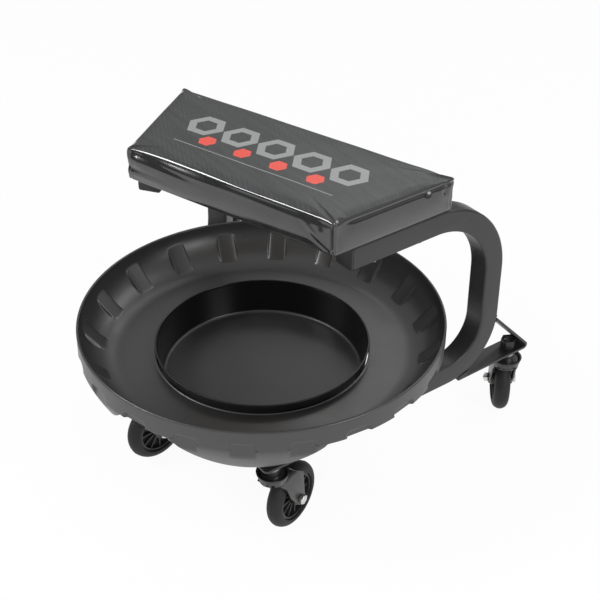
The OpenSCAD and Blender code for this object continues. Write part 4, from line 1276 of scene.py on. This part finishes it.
class SeatSizes(bpy.types.PropertyGroup):
    """Sizes of the padded seat"""
    corner: length("Corner radius", "Radius of the cover's upright corners", 3.6)
    edge: length("Edge radius", "Roll of the top edge", 3.2)
    height: length("Height", "Height of the cover at its edge", 36.9)
    crown: length("Crown", "Rise of the middle over the edge", 1.0)
    puff: length("Puff", "Most that the cloth may swell", 1.6)
    pressure: number("Pressure", "Pressure inside the cover", 3.0, min=0)


class TraySizes(bpy.types.PropertyGroup):
    """Sizes of the tray and its pan"""
    outer: length("Outer radius", "Outer radius of the tray", 203.0)
    wall: length("Wall", "Wall of the moulding", 3.0)
    bowl: length("Bowl radius", "Radius of the bowl's curve", 43.0)
    skirt: length("Skirt", "Height of the skirt below the rim", 24.5)
    lobe_drop: length("Lobe drop", "How far a lobe hangs below the skirt", 35.5)
    lobe: length("Lobe width", "Width of a lobe", 164.0)
    lobe_lean: length("Lobe lean", "How far a lobe leans in to its lower edge", 17.5)
    lobe_turn: number("Lobe turn", "Angle of a lobe from the side to the front, degrees", 57.5)
    hole: length("Hole radius", "Radius of the hole for the pan", 118.66)
    collar_bottom: length("Collar", "Height of the collar's lower edge", 136.5)
    band: length("Band", "Smooth band above the hollows", 16.5)
    blocks: whole("Blocks", "Number of blocks inside the bowl", 19)
    block: length("Block width", "Width of a block's face", 21.0)
    block_mid: number("Block lean", "Angle of a block's face on the bowl, degrees", 41.85)
    block_turn: number("Block turn", "Azimuth of the first block, degrees", 7.7)
    treads: whole("Treads", "Number of tread hollows outside", 21)
    tread: length("Tread width", "Width of a tread hollow", 29.0)
    tread_depth: length("Tread depth", "Depth of a tread hollow", 3.5)
    tread_corner: length("Tread corner", "Upper corner radius of a hollow", 5.0)
    tread_turn: number("Tread turn", "Azimuth of the first hollow, degrees", -41.2)
    pan_wall: length("Pan wall", "Wall of the pan", 1.2)
    pan_mouth: length("Pan mouth", "Inner radius of the pan's mouth", 118.0)
    pan_floor: length("Pan floor", "Inner radius of the pan's floor", 112.4)


class SeatLooks(bpy.types.PropertyGroup):
    """Colours of the seat's finishes"""
    coat: colour("Powder coat", "Colour of the tubes and brackets", (0.015, 0.0152, 0.0158))
    caster: colour("Caster paint", "Colour of the forks", (0.012, 0.0122, 0.0127))
    cap: colour("Caps", "Colour of the tube end caps", (0.009, 0.009, 0.0095))
    hub: colour("Hubs", "Colour of the wheel hubs", (0.007, 0.007, 0.0072))
    tyre: colour("Tyres", "Colour of the tyres", (0.0095, 0.0095, 0.0097))
    tray: colour("Tray", "Colour of the moulded tray", (0.014, 0.014, 0.0143))
    pan: colour("Pan", "Colour of the parts pan's floor", (0.017, 0.017, 0.0174))
    # The pan wall's near-black colour is painted shade; the wall is the same plastic as the pan's
    # floor
    pan_wall: colour("Pan wall", "Colour of the pan's glossy wall", (0.0015, 0.0015, 0.0016))
    top_dark: colour("Top, weft", "Darker threads of the seat top", (0.027, 0.0278, 0.0286))
    top_light: colour("Top, warp", "Lighter threads of the seat top", (0.043, 0.0443, 0.0456))
    print_light: colour("Print, light", "Light part of the print", (0.27, 0.28, 0.28))
    print_red: colour("Print, red", "Red part of the print", (0.72, 0.075, 0.05))
    weave: number("Weave", "Width of a thread of the weave", 0.0016, unit="LENGTH")


class StageLook(bpy.types.PropertyGroup):
    """Strengths of the lamps and surroundings"""
    lens: number("Lens", "Focal length of the camera, in millimetres", 79.353)
    front: number("Front", "Power of the front soft box, in watts", 54)
    left: number("Left", "Power of the left soft box, in watts", 33)
    right: number("Right", "Power of the right strip, in watts", 24)
    top: number("Top", "Power of the top soft box, in watts", 9)
    back: number("Back", "Power of the back soft box, in watts", 1.8)
    surround: number("Surround", "Strength of the surroundings' light", 0.45)
    mirrored: number("Mirrored", "Strength of the surroundings in reflections", 0.62)
    floor_white: number("Floor white", "Share of plain white in the floor", 0.94)


OPERATORS = (WORKSEAT_OT_stage, WORKSEAT_OT_tray, WORKSEAT_OT_pan, WORKSEAT_OT_frame,
             WORKSEAT_OT_welds, WORKSEAT_OT_casters, WORKSEAT_OT_fasteners, WORKSEAT_OT_cushion)
GROUPS = {"seat_sizes": SeatSizes, "tray_sizes": TraySizes, "seat_looks": SeatLooks,
          "stage_look": StageLook}


class WORKSEAT_PT_panel(bpy.types.Panel):
    """Lists the pieces and their settings"""
    bl_label = "Work seat"
    bl_space_type = "VIEW_3D"
    bl_region_type = "UI"
    bl_category = "Work seat"

    def draw(self, context):
        for operator in OPERATORS:
            self.layout.operator(operator.bl_idname)
        for name, group in GROUPS.items():
            box = self.layout.box()
            for key in group.__annotations__:
                box.prop(getattr(context.scene, name), key)


def register():
    for item in (*GROUPS.values(), *OPERATORS, WORKSEAT_PT_panel):
        bpy.utils.register_class(item)
    for name, group in GROUPS.items():
        setattr(bpy.types.Scene, name, PointerProperty(type=group))


def unregister():
    for name in GROUPS:
        delattr(bpy.types.Scene, name)
    for item in (WORKSEAT_PT_panel, *OPERATORS[::-1], *list(GROUPS.values())[::-1]):
        bpy.utils.unregister_class(item)


def main():
    register()
    for operator in OPERATORS:
        family, name = operator.bl_idname.split(".")
        getattr(getattr(bpy.ops, family), name)()


if __name__ == "__main__":
    main()
